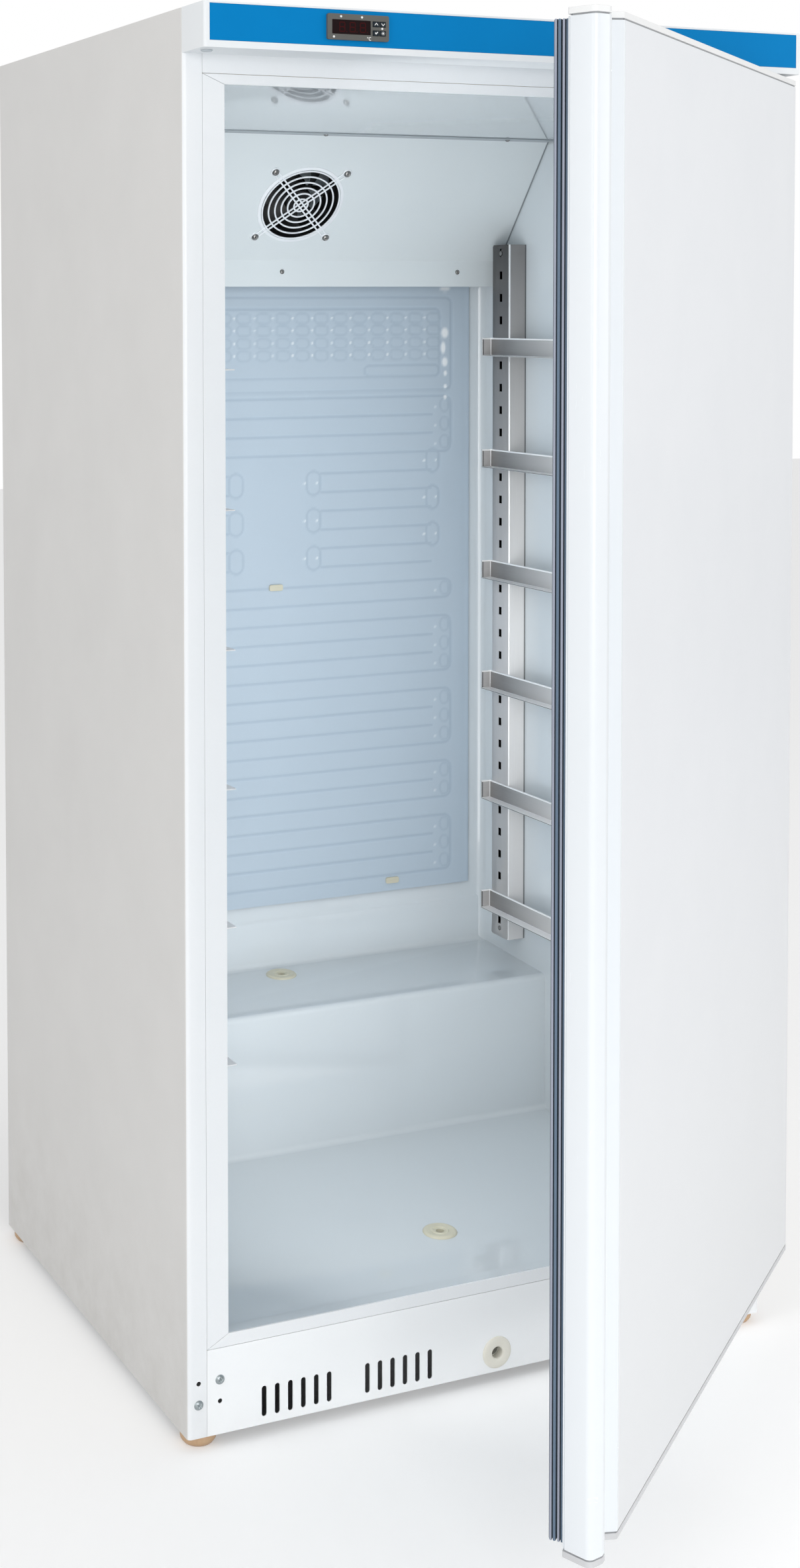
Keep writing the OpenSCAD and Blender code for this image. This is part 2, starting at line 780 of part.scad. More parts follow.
module header_box() {
    strip_half = half_w - strip_border;
    inside = half_w - header_wall;
    color(white) from_front() difference() {
        translate([0, 0, header_z0]) linear_extrude(cabinet_top - header_z0) polygon(rounded(
            [[-half_w, 0], [half_w, 0], [half_w, -header_d], [-half_w, -header_d]], [0, 0, 4, 4]
        ));
        translate([-inside, -header_d + header_wall, header_z0 + header_wall])
            cube([2 * inside, header_d, cabinet_top - header_z0 - 2 * header_wall]);
        translate([-strip_half, -header_d - 1, strip_z0])
            cube([2 * strip_half, strip_t + 1, strip_z1 - strip_z0]);
        controller_hole();
        for (s = top_screw_places) translate([s[0], s[1], header_z0 - 1])
            cylinder(r = screw_r + screw_gap, h = header_wall + 2);
        translate([-hinge_x, hinge_y, header_z0 - 1]) cylinder(r = pin_r + 0.1, h = header_wall + 2);
    }
}

// The cut-out in the header and the strip that the controller's body goes through
module controller_hole() {
    gap = 0.4;
    translate([ctrl_x - ctrl_body_w / 2 - gap, -header_d - 1, ctrl_z - ctrl_body_h / 2 - gap])
        cube([ctrl_body_w + 2 * gap, header_wall + 2, ctrl_body_h + 2 * gap]);
}

module header_strip() {
    gap = 0.2;
    strip_half = half_w - strip_border - gap;
    color([0.06, 0.53, 0.80]) from_front() difference() {
        translate([-strip_half, -header_d, strip_z0 + gap])
            cube([2 * strip_half, strip_t, strip_z1 - strip_z0 - 2 * gap]);
        controller_hole();
    }
}

// A blanking plug in the hinge hole that a left-hung door would use
module header_plug() {
    color([0.62, 0.65, 0.68]) from_front() translate([-hinge_x, hinge_y, header_z0])
        rotate_extrude() polygon([
            [0, -2.2], [pin_r + 1.4, -2.2], [pin_r + 2.4, -1.2], [pin_r + 2.4, 0],
            [pin_r, 0], [pin_r, header_wall + 1.5], [0, header_wall + 1.5]
        ]);
}

bezel_x0 = ctrl_x - ctrl_w / 2;
bezel_y = -header_d - bezel_t;
window_mid = bezel_x0 + window_x;
key_deep = bezel_t - 0.5;

function key_at(i, k) = [
    bezel_x0 + keys_x + (i - 0.5) * key_pitch_x, ctrl_z - 0.5 + (k - 0.5) * key_pitch_z
];

module controller_case() {
    color([0.36, 0.37, 0.38]) from_front() difference() {
        union() {
            translate([ctrl_x, 0, ctrl_z]) in_depth(bezel_y, -header_d)
                polygon(rounded_rectangle(ctrl_w, ctrl_h, 2.5));
            translate([ctrl_x - ctrl_body_w / 2, -header_d - 0.5, ctrl_z - ctrl_body_h / 2])
                cube([ctrl_body_w, ctrl_body_d, ctrl_body_h]);
        }
        translate([window_mid - window_w / 2, bezel_y - 1, ctrl_z - window_h / 2])
            cube([window_w, window_t + 1, window_h]);
        for (i = [0, 1]) for (k = [0, 1])
            translate([
                key_at(i, k)[0] - key_w / 2 - key_gap, bezel_y - 1, key_at(i, k)[1] - key_h / 2 - key_gap
            ])
                cube([key_w + 2 * key_gap, key_deep + key_travel + 1, key_h + 2 * key_gap]);
    }
}

module display_window() {
    gap = 0.15;
    color([0.16, 0.03, 0.04]) from_front()
        translate([window_mid - window_w / 2 + gap, bezel_y + 0.1, ctrl_z - window_h / 2 + gap])
            cube([window_w - 2 * gap, window_t - 0.1, window_h - 2 * gap]);
}

// A key, standing out of the bezel by its travel
module key(i, k) {
    color([0.45, 0.46, 0.47]) from_front() translate([key_at(i, k)[0], 0, key_at(i, k)[1]])
        in_depth(bezel_y - key_travel, bezel_y + key_deep - key_travel)
            polygon(rounded_rectangle(key_w, key_h, 1.2, 4));
}

module key_up() key(0, 1);
module key_down() key(1, 1);
module key_set() key(0, 0);
module key_timer() key(1, 0);

// Fan and its cover

module fan_cover() {
    path = [
        [cover_top_y - cover_top_flange, ceiling_z(cover_top_y - cover_top_flange) - cover_drop],
        [cover_top_y, cover_top_z], [cover_y, cover_bend_z], [cover_y, cover_bend_z - cover_flange]
    ];
    color([0.85, 0.88, 0.89]) difference() {
        from_front() difference() {
            across(cover_half) polygon(bent_sheet(path, cover_t));
            for (k = [-1:1]) {
                bar_y([cover_screw_x(k), cover_y - 5, cover_low_z], 2.3, 20);
                translate([cover_screw_x(k), cover_high_y, cover_top_z - 10]) cylinder(r = 2.3, h = 20);
            }
        }
        on_slope() translate([0, 0, -10]) {
            cylinder(r = throat_r, h = 20);
            fan_corners() cylinder(r = 2.3, h = 20);
        }
    }
}

function cover_screw_x(k) = fan_x + k * cover_screw_pitch;
cover_low_z = cover_bend_z - 18;
cover_high_y = cover_top_y - 8;

// Pan-headed screws of the cover, three in the lower flange and three up into the ceiling
module cover_screws() {
    color(steel) from_front() for (k = [-1:1]) {
        translate([cover_screw_x(k), cover_y, cover_low_z]) rotate([90, 0, 0]) dome_screw(4, 2.6, 2.1, 12);
        translate([cover_screw_x(k), cover_high_y, ceiling_z(cover_high_y) - cover_drop])
            rotate([180 - draft, 0, 0]) dome_screw(4, 2.6, 2.1, cover_t);
    }
}

// The four screw places of the fan, on the slope
module fan_corners() {
    for (sx = [-1, 1]) for (sy = [-1, 1])
        translate([sx * fan_screw_pitch / 2, sy * fan_screw_pitch / 2, 0]) children();
}

module fan_grille() {
    t = 2.4;
    arm_gap = 7;
    lug = fan_screw_pitch / 2;
    color([0.93, 0.95, 0.96]) on_slope() {
        difference() {
            union() {
                grille_ring(grille_r, 5, 1.4);
                for (i = [0:ring_count - 1]) grille_ring(ring_radius(i), ring_w, t);
                for (a = [45, 135]) rotate([0, 0, a]) for (s = [-1, 1])
                    translate([-norm([lug, lug]), s * arm_gap / 2 - ring_w / 2, 0.2])
                        cube([2 * norm([lug, lug]), ring_w, t - 0.4]);
                fan_corners() cylinder(r = 7.5, h = t);
            }
            translate([0, 0, -1]) cylinder(r = ring_radius(0) - ring_w + 0.3, h = t + 2);
            fan_corners() translate([0, 0, -1]) cylinder(r = 2.3, h = t + 2);
        }
    }
}

function ring_radius(i) = first_ring_r + (grille_r - 6 - first_ring_r) * i / (ring_count - 1);

module grille_ring(r, w, t) {
    difference() {
        cylinder(r = r, h = t);
        translate([0, 0, -1]) cylinder(r = r - w, h = t + 2);
    }
}

module fan_screws() {
    color(steel) on_slope() fan_corners() translate([0, 0, 2.4]) dome_screw(6, 4, 2.1, 16);
}

// The square housing behind the cover, with the struts that hold the motor
module fan_housing() {
    motor_z = -fan_d + 4;
    color([0.16, 0.16, 0.17]) on_slope() translate([0, 0, -cover_t - 0.05]) difference() {
        union() {
            difference() {
                translate([0, 0, -fan_d]) linear_extrude(fan_d) polygon(rounded_rectangle(fan_w, fan_w, 8));
                translate([0, 0, -fan_d - 1]) cylinder(r = throat_r, h = fan_d + 2);
            }
            for (a = [0:90:270]) rotate([0, 0, a]) translate([0, -3, -fan_d]) cube([throat_r + 3, 6, 4]);
            translate([0, 0, -fan_d]) cylinder(r = hub_r + 3, h = 4);
        }
        translate([0, 0, -fan_d - 1]) cylinder(r = 6.1, h = fan_d + 2);
        fan_corners() translate([0, 0, -fan_d - 1]) cylinder(r = 2.3, h = fan_d + 2);
    }
}

motor_l = 14;

// Motor on the housing's struts, its shaft pointing out through the throat
module fan_motor() {
    color([0.25, 0.26, 0.28]) on_slope() translate([0, 0, -cover_t - fan_d]) {
        translate([0, 0, -1]) cylinder(r = 6, h = 6);
        translate([0, 0, 4]) cylinder(r = hub_r, h = motor_l);
        cylinder(r = shaft_r, h = fan_d - 6);
    }
}

// Impeller, bored for the shaft, with flat pitched blades
module fan_impeller() {
    z0 = -cover_t - fan_d + 4 + motor_l + 1;
    hub_l = -cover_t - 5 - z0;
    color([0.10, 0.10, 0.11]) on_slope() difference() {
        union() {
            translate([0, 0, z0]) cylinder(r = hub_r, h = hub_l);
            intersection() {
                translate([0, 0, z0 + 1]) cylinder(r = blade_r, h = hub_l - 2);
                for (i = [0:blade_count - 1]) rotate([0, 0, i * 360 / blade_count])
                    translate([hub_r - 2, 0, z0 + hub_l / 2]) rotate([blade_pitch, 0, 0])
                        translate([0, -15, -0.9]) cube([blade_r, 30, 1.8]);
            }
        }
        translate([0, 0, z0 - 1]) cylinder(r = shaft_r + shaft_gap, h = hub_l + 2);
    }
}

// Evaporator

plate_y = liner_d - plate_gap - plate_t;
clip_x = plate_w / 2 - clip_side;
clip_low = plate_z0 + 18;
clip_high = plate_z1 - 25;
clip_places = [
    [0, (plate_z0 + plate_z1) / 2 - 10], [-clip_x, clip_low], [clip_x, clip_low],
    [-clip_x, clip_high], [clip_x, clip_high]
];
channel_z0 = plate_z0 + 27;
channel_count = floor((plate_z1 - pad_space - channel_z0) / channel_pitch);
channel_half = plate_w / 2 - 38;
pads_z0 = channel_z0 + channel_count * channel_pitch + 8;
pad_rows = 4;
pad_columns = floor((2 * channel_half - 20) / pad_pitch);

// A flat bar with round ends, from x0 to x1
function bar_outline(x0, x1, z, w) = concat(
    arc([x1 - w / 2, z], w / 2, -90, 90, 4), arc([x0 + w / 2, z], w / 2, 90, 270, 4)
);

// Plate with a raised channel that turns back and forth, and rows of pads over it
module evaporator_plate() {
    z_of = function (i) channel_z0 + i * channel_pitch;
    color([0.70, 0.78, 0.84]) from_front() difference() {
        union() {
            in_depth(plate_y, plate_y + plate_t)
                translate([-plate_w / 2, plate_z0]) square([plate_w, plate_z1 - plate_z0]);
            in_depth(plate_y - channel_h, plate_y + 0.1) union() {
                for (i = [0:channel_count - 1])
                    polygon(bar_outline(-channel_half, channel_half, z_of(i), channel_w));
                for (i = [0:channel_count - 2]) {
                    side = i % 2 == 0 ? channel_half - channel_w : -channel_half;
                    translate([side, z_of(i)]) square([channel_w, channel_pitch]);
                }
            }
            for (row = [0:pad_rows - 1]) for (i = [0:pad_columns - 1])
                in_depth(plate_y - channel_h, plate_y + 0.1) polygon(bar_outline(
                    -channel_half + 12 + i * pad_pitch, -channel_half + 12 + i * pad_pitch + pad_l,
                    pads_z0 + row * pad_row_pitch, pad_w
                ));
        }
        for (c = clip_places) bar_y([c[0], plate_y - 5, c[1]], 2.6, 20);
    }
}

// Clips that hold the plate off the liner, each with a stem into the foam
module evaporator_clips() {
    front = plate_y - channel_h;
    color(ivory) from_front() for (c = clip_places) {
        translate([c[0], 0, c[1]]) in_depth(front - 3, front)
            polygon(rounded_rectangle(clip_w, clip_h, 3, 4));
        bar_y([c[0], front - 0.5, c[1]], 2, liner_d + 8 - front);
        bar_y([c[0], plate_y + plate_t + 0.1, c[1]], 6, plate_gap - 0.2);
    }
}

// Uprights and tray runners

upright_x = liner_half - upright_out;
// The lowest pair of runners hangs in the second hole, the others at even steps above it
function runner_z(level) = first_hole_z + hole_pitch * (1 + (level - 1) * runner_step) - 22;

// Open channel against the left wall, with square holes in the face towards the cavity
module upright(y0) {
    plan = [
        [-liner_half, y0 + upright_w], [-upright_x, y0 + upright_w], [-upright_x, y0], [-liner_half, y0]
    ];
    difference() {
        translate([0, 0, upright_z0]) linear_extrude(upright_l) polygon(bent_sheet(plan, -rail_t));
        for (i = [0:hole_count - 1])
            translate([
                -upright_x - rail_t - 1, y0 + upright_w / 2 - hole_w / 2,
                first_hole_z + i * hole_pitch - hole_h / 2
            ])
                cube([rail_t + 2, hole_w, hole_h]);
        for (z = upright_screw_z) translate([-liner_half - 1, y0 + upright_w / 2, z])
            rotate([0, 90, 0]) cylinder(r = 4, h = upright_out + 2);
    }
}

upright_screw_z = [upright_z0 + 14, upright_z0 + upright_l - 14];

module tray_uprights() {
    color([0.62, 0.62, 0.62]) from_front() both_sides() {
        upright(rear_upright_y);
        upright(front_upright_y);
    }
}

// Blocks and screws that hold the uprights against the side walls, two in each channel
module upright_screws() {
    inside = upright_w - 2 * rail_t - 0.6;
    color(steel) from_front() both_sides()
        for (y = [rear_upright_y, front_upright_y]) for (z = upright_screw_z) {
            translate([-liner_half + 0.2, y + (upright_w - inside) / 2, z - 7])
                cube([upright_out - rail_t - 0.4, inside, 14]);
            translate([-upright_x - rail_t - 1, y + upright_w / 2, z]) rotate([0, 90, 0])
                cylinder(r = 3.8, h = rail_t + 1.8);
        }
}

// Left runner: a wall, a shelf along its foot, a stop at its back and a hook in each upright
module runner(z) {
    wall_x = -upright_x;
    translate([wall_x, runner_y, z]) cube([rail_t, runner_l, runner_h]);
    translate([wall_x, runner_y, z]) cube([runner_w, runner_l, rail_t]);
    translate([wall_x, runner_y + runner_l - rail_t, z]) cube([runner_w, rail_t, runner_h]);
    hook = [rail_t + 4.5, hole_w - 2 * hook_gap, hole_h - 2 * hook_gap];
    for (y = [rear_upright_y, front_upright_y])
        translate([wall_x + 0.5 - hook[0], y + upright_w / 2 - hook[1] / 2, z + 22 - hook[2] / 2])
            cube(hook);
}

module tray_runners(level) {
    color([0.72, 0.72, 0.73]) from_front() both_sides() runner(runner_z(level));
}

module tray_runners_1() tray_runners(1);
module tray_runners_2() tray_runners(2);
module tray_runners_3() tray_runners(3);
module tray_runners_4() tray_runners(4);
module tray_runners_5() tray_runners(5);
module tray_runners_6() tray_runners(6);

// Drains

// A plug with a bore, its flange on the sloping floor and its barrel through the liner
module drain_plug() {
    rotate([draft, 0, 0]) rotate_extrude() polygon(concat(
        [
            [6, 2.2], [6, -6], [tube_r + 1.2, -6], [tube_r + 1.2, -24],
            [barrel_r, -24], [barrel_r, 0.1], [plug_r, 0.1]
        ],
        arc([plug_r - 2, 0.1], 2, 0, 90, 4),
        [[plug_r - 5, 3.4], [12, 2.6]]
    ));
}

module drain_plugs() {
    color(ivory) from_front() for (d = drains) translate(d) drain_plug();
}

module drain_bushing() {
    color(ivory) from_front() translate([drain_x, 0, outlet_z]) rotate([90, 0, 0]) rotate_extrude()
        polygon([
            [outlet_bore_r, -10], [outlet_bore_r, 1], [outlet_bore_r + 2.5, 3], [outlet_r - 5, 3.2],
            [outlet_r, 1.2], [outlet_r, 0], [outlet_r - 7.2, 0], [outlet_r - 7.2, -10]
        ]);
}

// A tube's wall along Z from 0 to l
module tube(l) difference() {
    cylinder(r = tube_r, h = l);
    translate([0, 0, -1]) cylinder(r = tube_r - tube_wall, h = l + 2);
}

// Floor drain down and forward to the plinth's outlet, step drain down to the evaporation pan
module drain_tubes() {
    turn = 24;
    low = outlet_z + turn;
    color([0.8, 0.8, 0.78]) from_front() {
        union() {
            translate([drain_x, floor_drain_y, low]) tube(drains[0][2] - 8 - low);
            bend([drain_x, floor_drain_y - turn, low], "side", -90, turn) difference() {
                circle(tube_r);
                circle(tube_r - tube_wall);
            }
            translate([drain_x, floor_drain_y - turn, outlet_z]) rotate([90, 0, 0])
                tube(floor_drain_y - turn - 10.3);
        }
        translate([step_drain_x, step_drain_y, shell_top + 24]) tube(drains[1][2] - 8 - shell_top - 24);
    }
}

// Refrigeration

module evaporation_pan() {
    w = 200;
    d = 150;
    h = 34;
    t = 1.6;
    color([0.2, 0.2, 0.21]) from_front()
        translate([compressor_x - w / 2 + 20, compressor_y - d / 2, shell_top + 0.2]) difference() {
            cube([w, d, h]);
            translate([t, t, t]) cube([w - 2 * t, d - 2 * t, h]);
        }
}

mount_x = 84;
mount_y = 58;

// Hermetic shell welded to a foot plate, with its weld seam
module compressor() {
    r = shell_r;
    mid = shell_h / 2;
    plate = [2 * mount_x + 36, 2 * mount_y + 32, 3];
    color([0.09, 0.09, 0.10]) from_front() translate([compressor_x, compressor_y, 0]) {
        translate([0, 0, shell_z0]) rotate_extrude() polygon(concat(
            [[0, 0]],
            arc([r - 30, 30], 30, -90, 0, 6),
            [[r, mid - 4], [r + 3, mid - 3], [r + 3, mid + 3], [r, mid + 4]],
            arc([r - 45, shell_h - 45], 45, 0, 90, 8),
            [[0, shell_h]]
        ));
        difference() {
            translate([-plate[0] / 2, -plate[1] / 2, pan_top + mount_h]) cube(plate);
            for (sx = [-1, 1]) for (sy = [-1, 1])
                translate([sx * mount_x, sy * mount_y, pan_top + mount_h - 1]) cylinder(r = 6.4, h = 5);
        }
    }
}

module compressor_mounts() {
    color([0.12, 0.12, 0.12]) from_front() for (sx = [-1, 1]) for (sy = [-1, 1])
        translate([compressor_x + sx * mount_x, compressor_y + sy * mount_y, pan_top])
            rotate_extrude() polygon([
                [0, 0], [13, 0], [12, mount_h - 0.1], [6.2, mount_h - 0.1], [6.2, mount_h + 3.1],
                [9, mount_h + 3.1], [8, mount_h + 6], [0, mount_h + 6]
            ]);
}

module compressor_relay() {
    color([0.3, 0.3, 0.31]) from_front()
        translate([compressor_x + shell_r + 0.3, compressor_y - 30, shell_z0 + 26]) cube([38, 60, 46]);
}

// One straight pipe from p along the angles' direction
module pipe(p, turn, l) translate(p) rotate(turn) cylinder(r = pipe_r, h = l);

module pipe_bend(c, plane, start) {
    bend(c, plane, start, pipe_bend) circle(pipe_r);
}

// A serpentine tube with wires across it, behind the back panel
module condenser() {
    color([0.10, 0.10, 0.11]) from_front() translate([0, condenser_y, 0]) {
        union() {
            for (i = [0:pass_count - 1])
                pipe([-pass_half, 0, pass_z0 + i * pass_pitch], [0, 90, 0], 2 * pass_half);
            for (i = [0:pass_count - 2]) {
                s = i % 2 == 0 ? 1 : -1;
                bend([s * pass_half, 0, pass_z0 + (i + 0.5) * pass_pitch], "front", -90 * s, bend_r, 180)
                    circle(pipe_r);
            }
        }
        wires = floor((pass_half - 6) / wire_pitch);
        for (i = [-wires:wires]) translate([i * wire_pitch, pipe_r + wire_r + 0.05, pass_z0 - 20])
            cylinder(r = wire_r, h = pass_top - pass_z0 + 40);
    }
}

// Blocks that hold the condenser's second and last but one runs off the back panel
module condenser_clips() {
    x = 4.5 * wire_pitch;
    color([0.15, 0.15, 0.16]) from_front()
        for (sx = [-1, 1]) for (z = [pass_z0 + pass_pitch, pass_top - pass_pitch]) difference() {
            translate([sx * x - 7, back_y, z - 8]) cube([14, condenser_out + 6, 16]);
            translate([sx * x - 8, condenser_y, z]) rotate([0, 90, 0]) cylinder(r = pipe_r + 0.2, h = 16);
        }
}

// Discharge line up to the condenser, liquid line through the drier, and the suction line
module refrigerant_lines() {
    r = pipe_bend;
    low = shell_z0 + 60;
    start = compressor_x - shell_r - 0.3;
    suction_x = compressor_x + shell_r + 52;
    suction_z = shell_z0 + 110;
    drier_z = pass_z0 - r - 130;
    end_y = bay_y + 60;
    back_run = condenser_y - 2 * r - end_y;
    color([0.72, 0.45, 0.30]) from_front() {
        union() {
            pipe([start, compressor_y, low], [0, -90, 0], start - riser_x - r);
            pipe_bend([riser_x + r, compressor_y + r, low], "flat", 180);
            pipe([riser_x, compressor_y + r, low], [-90, 0, 0], condenser_y - compressor_y - 2 * r);
            pipe_bend([riser_x, condenser_y - r, low + r], "side", -90);
            pipe([riser_x, condenser_y, low + r], [0, 0, 0], pass_top - low - 2 * r);
            pipe_bend([riser_x + r, condenser_y, pass_top - r], "front", 90);
            pipe([riser_x + r, condenser_y, pass_top], [0, 90, 0], -pass_half - riser_x - r - 0.1);
        }
        union() {
            pipe_bend([-pass_half - 0.1, condenser_y, pass_z0 - r], "front", 90);
            pipe([drier_x - 0.1, condenser_y, drier_z + 90], [0, 0, 0], pass_z0 - r - drier_z - 90);
            translate([drier_x - 0.1, condenser_y, drier_z]) cylinder(r = 10, h = 90);
            pipe([drier_x - 0.1, condenser_y, drier_z - 30], [0, 0, 0], 30);
            pipe_bend([drier_x - 0.1, condenser_y - r, drier_z - 30], "side", -90);
            pipe([drier_x - 0.1, condenser_y - r, drier_z - 30 - r], [90, 0, 0], back_run);
            pipe_bend([drier_x - 0.1, end_y + r, drier_z - 30], "side", 180);
            pipe([drier_x - 0.1, end_y, drier_z - 30], [0, 0, 0], bay_z - 0.2 - drier_z + 30);
        }
        union() {
            pipe([suction_x, compressor_y, suction_z + r], [0, 0, 0], bay_z - 0.2 - suction_z - r);
            pipe_bend([suction_x - r, compressor_y, suction_z + r], "front", -90);
            pipe([suction_x - r, compressor_y, suction_z], [0, -90, 0], 52 - r - 0.3);
        }
    }
}

// Box that the supply cable enters from the back, through a gland
module mains_terminal_box() {
    x = half_w - 250;
    y = cabinet_d - 90;
    w = 70;
    d = 52;
    h = 58;
    gland_z = pan_top + 34;
    color([0.22, 0.22, 0.23]) from_front() difference() {
        union() {
            translate([x, y, pan_top]) cube([w, d, h]);
            bar_y([x + w / 2, y + d, gland_z], 11, 6);
            bar_y([x + w / 2, y + d + 6, gland_z], 8.5, 10);
        }
        bar_y([x + w / 2, y + d - 20, gland_z], 4.2, 40);
    }
}

// Feet

function foot_places() = [
    for (sx = [-1, 1]) for (y = [foot_r + 1, cabinet_d - foot_r - 6]) [sx * (half_w - foot_r - 1), y, 0]
];

module feet() {
    color([0.78, 0.65, 0.51]) from_front() for (p = foot_places()) translate(p) rotate_extrude() polygon([
        [0, 0], [foot_r - 6, 0], [foot_r - 1.5, foot_h * 0.3], [foot_r, foot_h * 0.65],
        [foot_r, foot_h], [0, foot_h]
    ]);
}

// Hinges

top_screw_places = [[half_w - 42, -14], [half_w - 12, -14]];

// Plate under the header with the upper pin and its collar, pointing down
module hinge_bracket_top() {
    low = header_z0 - bracket_t;
    x0 = half_w - 52;
    x1 = half_w - 3;
    color(steel) from_front() difference() {
        union() {
            translate([0, 0, low]) linear_extrude(bracket_t) polygon(rounded(
                [[x0, -0.2], [x1, -0.2], [x1, hinge_y - 14], [x0, hinge_y + 6]], [0, 0, 10, 4]
            ));
            translate([hinge_x, hinge_y, door_z1 + collar_gap])
                cylinder(r = bush_r, h = low - door_z1 - collar_gap + 0.1);
            translate([hinge_x, hinge_y, door_z1 - 12]) cylinder(r = pin_r, h = low - door_z1 + 12.1);
        }
        for (s = top_screw_places) translate([s[0], s[1], low - 1])
            cylinder(r = screw_r + screw_gap, h = bracket_t + 2);
    }
}

// Angle on the plinth whose shelf carries the lower pin and its collar
module hinge_bracket_bottom() {
    z0 = hinge_rows[0] - 14;
    x0 = hinge_columns[0] - 13;
    x1 = half_w - 3;
    color(steel) from_front() difference() {
        union() {
            translate([x0, -bracket_t, z0]) cube([x1 - x0, bracket_t, bracket_z - z0]);
            translate([0, 0, bracket_z - bracket_t]) linear_extrude(bracket_t) polygon(rounded(
                [[x0, 0], [x1, 0], [x1, hinge_y - 14], [x0, hinge_y + 6]], [0, 0, 10, 4]
            ));
            translate([hinge_x, hinge_y, bracket_z - 0.1])
                cylinder(r = bush_r, h = door_z0 - collar_gap - bracket_z + 0.1);
            translate([hinge_x, hinge_y, bracket_z - 0.1])
                cylinder(r = pin_r, h = door_z0 + 12 - bracket_z);
        }
        for (x = hinge_columns) for (z = hinge_rows)
            bar_y([x, -bracket_t - 1, z], screw_r + screw_gap, bracket_t + 2);
    }
}

// Screws of both hinges, and the two that close spare holes on the left
module hinge_screws() {
    head_h = 3.4;
    color([0.75, 0.77, 0.78]) from_front() {
        for (x = hinge_columns) for (z = hinge_rows) translate([x, -bracket_t, z]) rotate([90, 0, 0])
            dome_screw(screw_head_r, head_h, screw_r, 14);
        for (s = [[-hinge_columns[0], hinge_rows[1]], [-hinge_columns[1], hinge_rows[0]]])
            translate([s[0], 0, s[1]]) rotate([90, 0, 0]) dome_screw(screw_head_r, head_h, screw_r, 10);
        for (s = top_screw_places) translate([s[0], s[1], header_z0 - bracket_t]) rotate([180, 0, 0])
            dome_screw(screw_head_r, 2.6, screw_r, 10);
    }
}

// Door, drawn closed and carried open by on_door()

// Nose of the handle, from the outer panel's edge round to the inner panel, with its finger groove
nose = [
    [profile_u, 0], [profile_u + 5, 0], [profile_u + 13, -groove_d], [profile_u + 42, -groove_d],
    [profile_u + 49, 0], [profile_u + 58, 0], [cabinet_w + 1, -9], [cabinet_w - 9, inner_t - door_t],
    [profile_u, inner_t - door_t]
];
nose_radii = [0, 1.5, 3, 4, 3, 6, 8, 2, 0];
nose_inner_radii = [0, 0.8, 5, 5, 1, 4, 6, 0, 0];

// Plan of the whole door, as its caps cover it
door_plan = [
    [0, 0], [profile_u + 5, 0], [profile_u + 13, -groove_d], [profile_u + 42, -groove_d],
    [profile_u + 49, 0], [profile_u + 58, 0], [cabinet_w + 1, -9], [cabinet_w - 9, -door_t], [0, -door_t]
];
door_radii = [4, 1.5, 3, 4, 3, 6, 8, 3, 3];

module door_polygon(p) polygon([for (q = p) door_at(q)]);

// Sheet over the door's face, round its hinge edge and into its back
module door_outer_panel() {
    path = concat(
        [[profile_u, -sheet]], fillet([profile_u, -sheet], [sheet, -sheet], [sheet, -door_t], 3, 6),
        [[sheet, inner_t - door_t]]
    );
    color([0.88, 0.90, 0.91]) on_door() translate([0, 0, body_z0]) linear_extrude(body_z1 - body_z0)
        door_polygon(bent_sheet(path, -sheet));
}

module door_handle_profile() {
    color([0.95, 0.96, 0.97]) on_door() translate([0, 0, body_z0]) linear_extrude(body_z1 - body_z0)
        difference() {
            door_polygon(rounded(nose, nose_radii));
            door_polygon(rounded(inset(nose, -profile_t), nose_inner_radii));
        }
}

// A cap plate with plugs into the door's two hollows, drilled for the hinge bush
module door_cap(z0, plug_z0) {
    gap = 0.4;
    difference() {
        union() {
            translate([0, 0, z0]) linear_extrude(cap_t) door_polygon(rounded(door_plan, door_radii));
            translate([0, 0, plug_z0]) linear_extrude(cap_plug) {
                door_polygon(rounded([
                    [sheet + gap, -sheet - gap], [profile_u - gap, -sheet - gap],
                    [profile_u - gap, inner_t + gap - door_t], [sheet + gap, inner_t + gap - door_t]
                ], [3, 0, 0, 0]));
                door_polygon(rounded(inset(nose, -profile_t - gap), nose_inner_radii));
            }
        }
        translate([hinge_x, hinge_y, min(z0, plug_z0) - 1])
            cylinder(r = bush_r + 0.05, h = cap_t + cap_plug + 2);
    }
}

module door_cap_top() {
    color([0.93, 0.93, 0.92]) on_door() door_cap(door_z1 - cap_t, door_z1 - cap_t - cap_plug);
}

module door_cap_bottom() {
    color([0.93, 0.93, 0.92]) on_door() door_cap(door_z0, door_z0 + cap_t);
}

// Nylon bushes in both caps, on the hinge pins
module hinge_bushes() {
    color([0.85, 0.85, 0.82]) on_door()
        for (z = [door_z0, door_z1 - cap_t - cap_plug]) translate([hinge_x, hinge_y, z]) difference() {
            cylinder(r = bush_r, h = cap_t + cap_plug);
            translate([0, 0, -1]) cylinder(r = pin_r + pin_gap, h = cap_t + cap_plug + 2);
        }
}

// Inner panel with a raised hollow field inside the gasket
module door_inner_panel() {
    u1 = cabinet_w - 10;
    field_u = (cabinet_w - field_border * 2) / 2;
    field_z = (body_z1 - body_z0 - 2 * 42) / 2;
    mid_z = (body_z0 + body_z1) / 2;
    color([0.92, 0.94, 0.95]) on_door() difference() {
        union() {
            translate([half_w - u1, door_inner_y - inner_t, body_z0])
                cube([u1 - 0.1, inner_t, body_z1 - body_z0]);
            translate([0, 0, mid_z]) in_depth(door_inner_y - 0.1, door_inner_y + field_h)
                polygon(rounded_rectangle(2 * field_u, 2 * field_z, 24));
        }
        translate([0, 0, mid_z]) in_depth(door_inner_y - inner_t - 1, door_inner_y + field_h - inner_t)
            polygon(rounded_rectangle(2 * (field_u - inner_t), 2 * (field_z - inner_t), 22));
    }
}

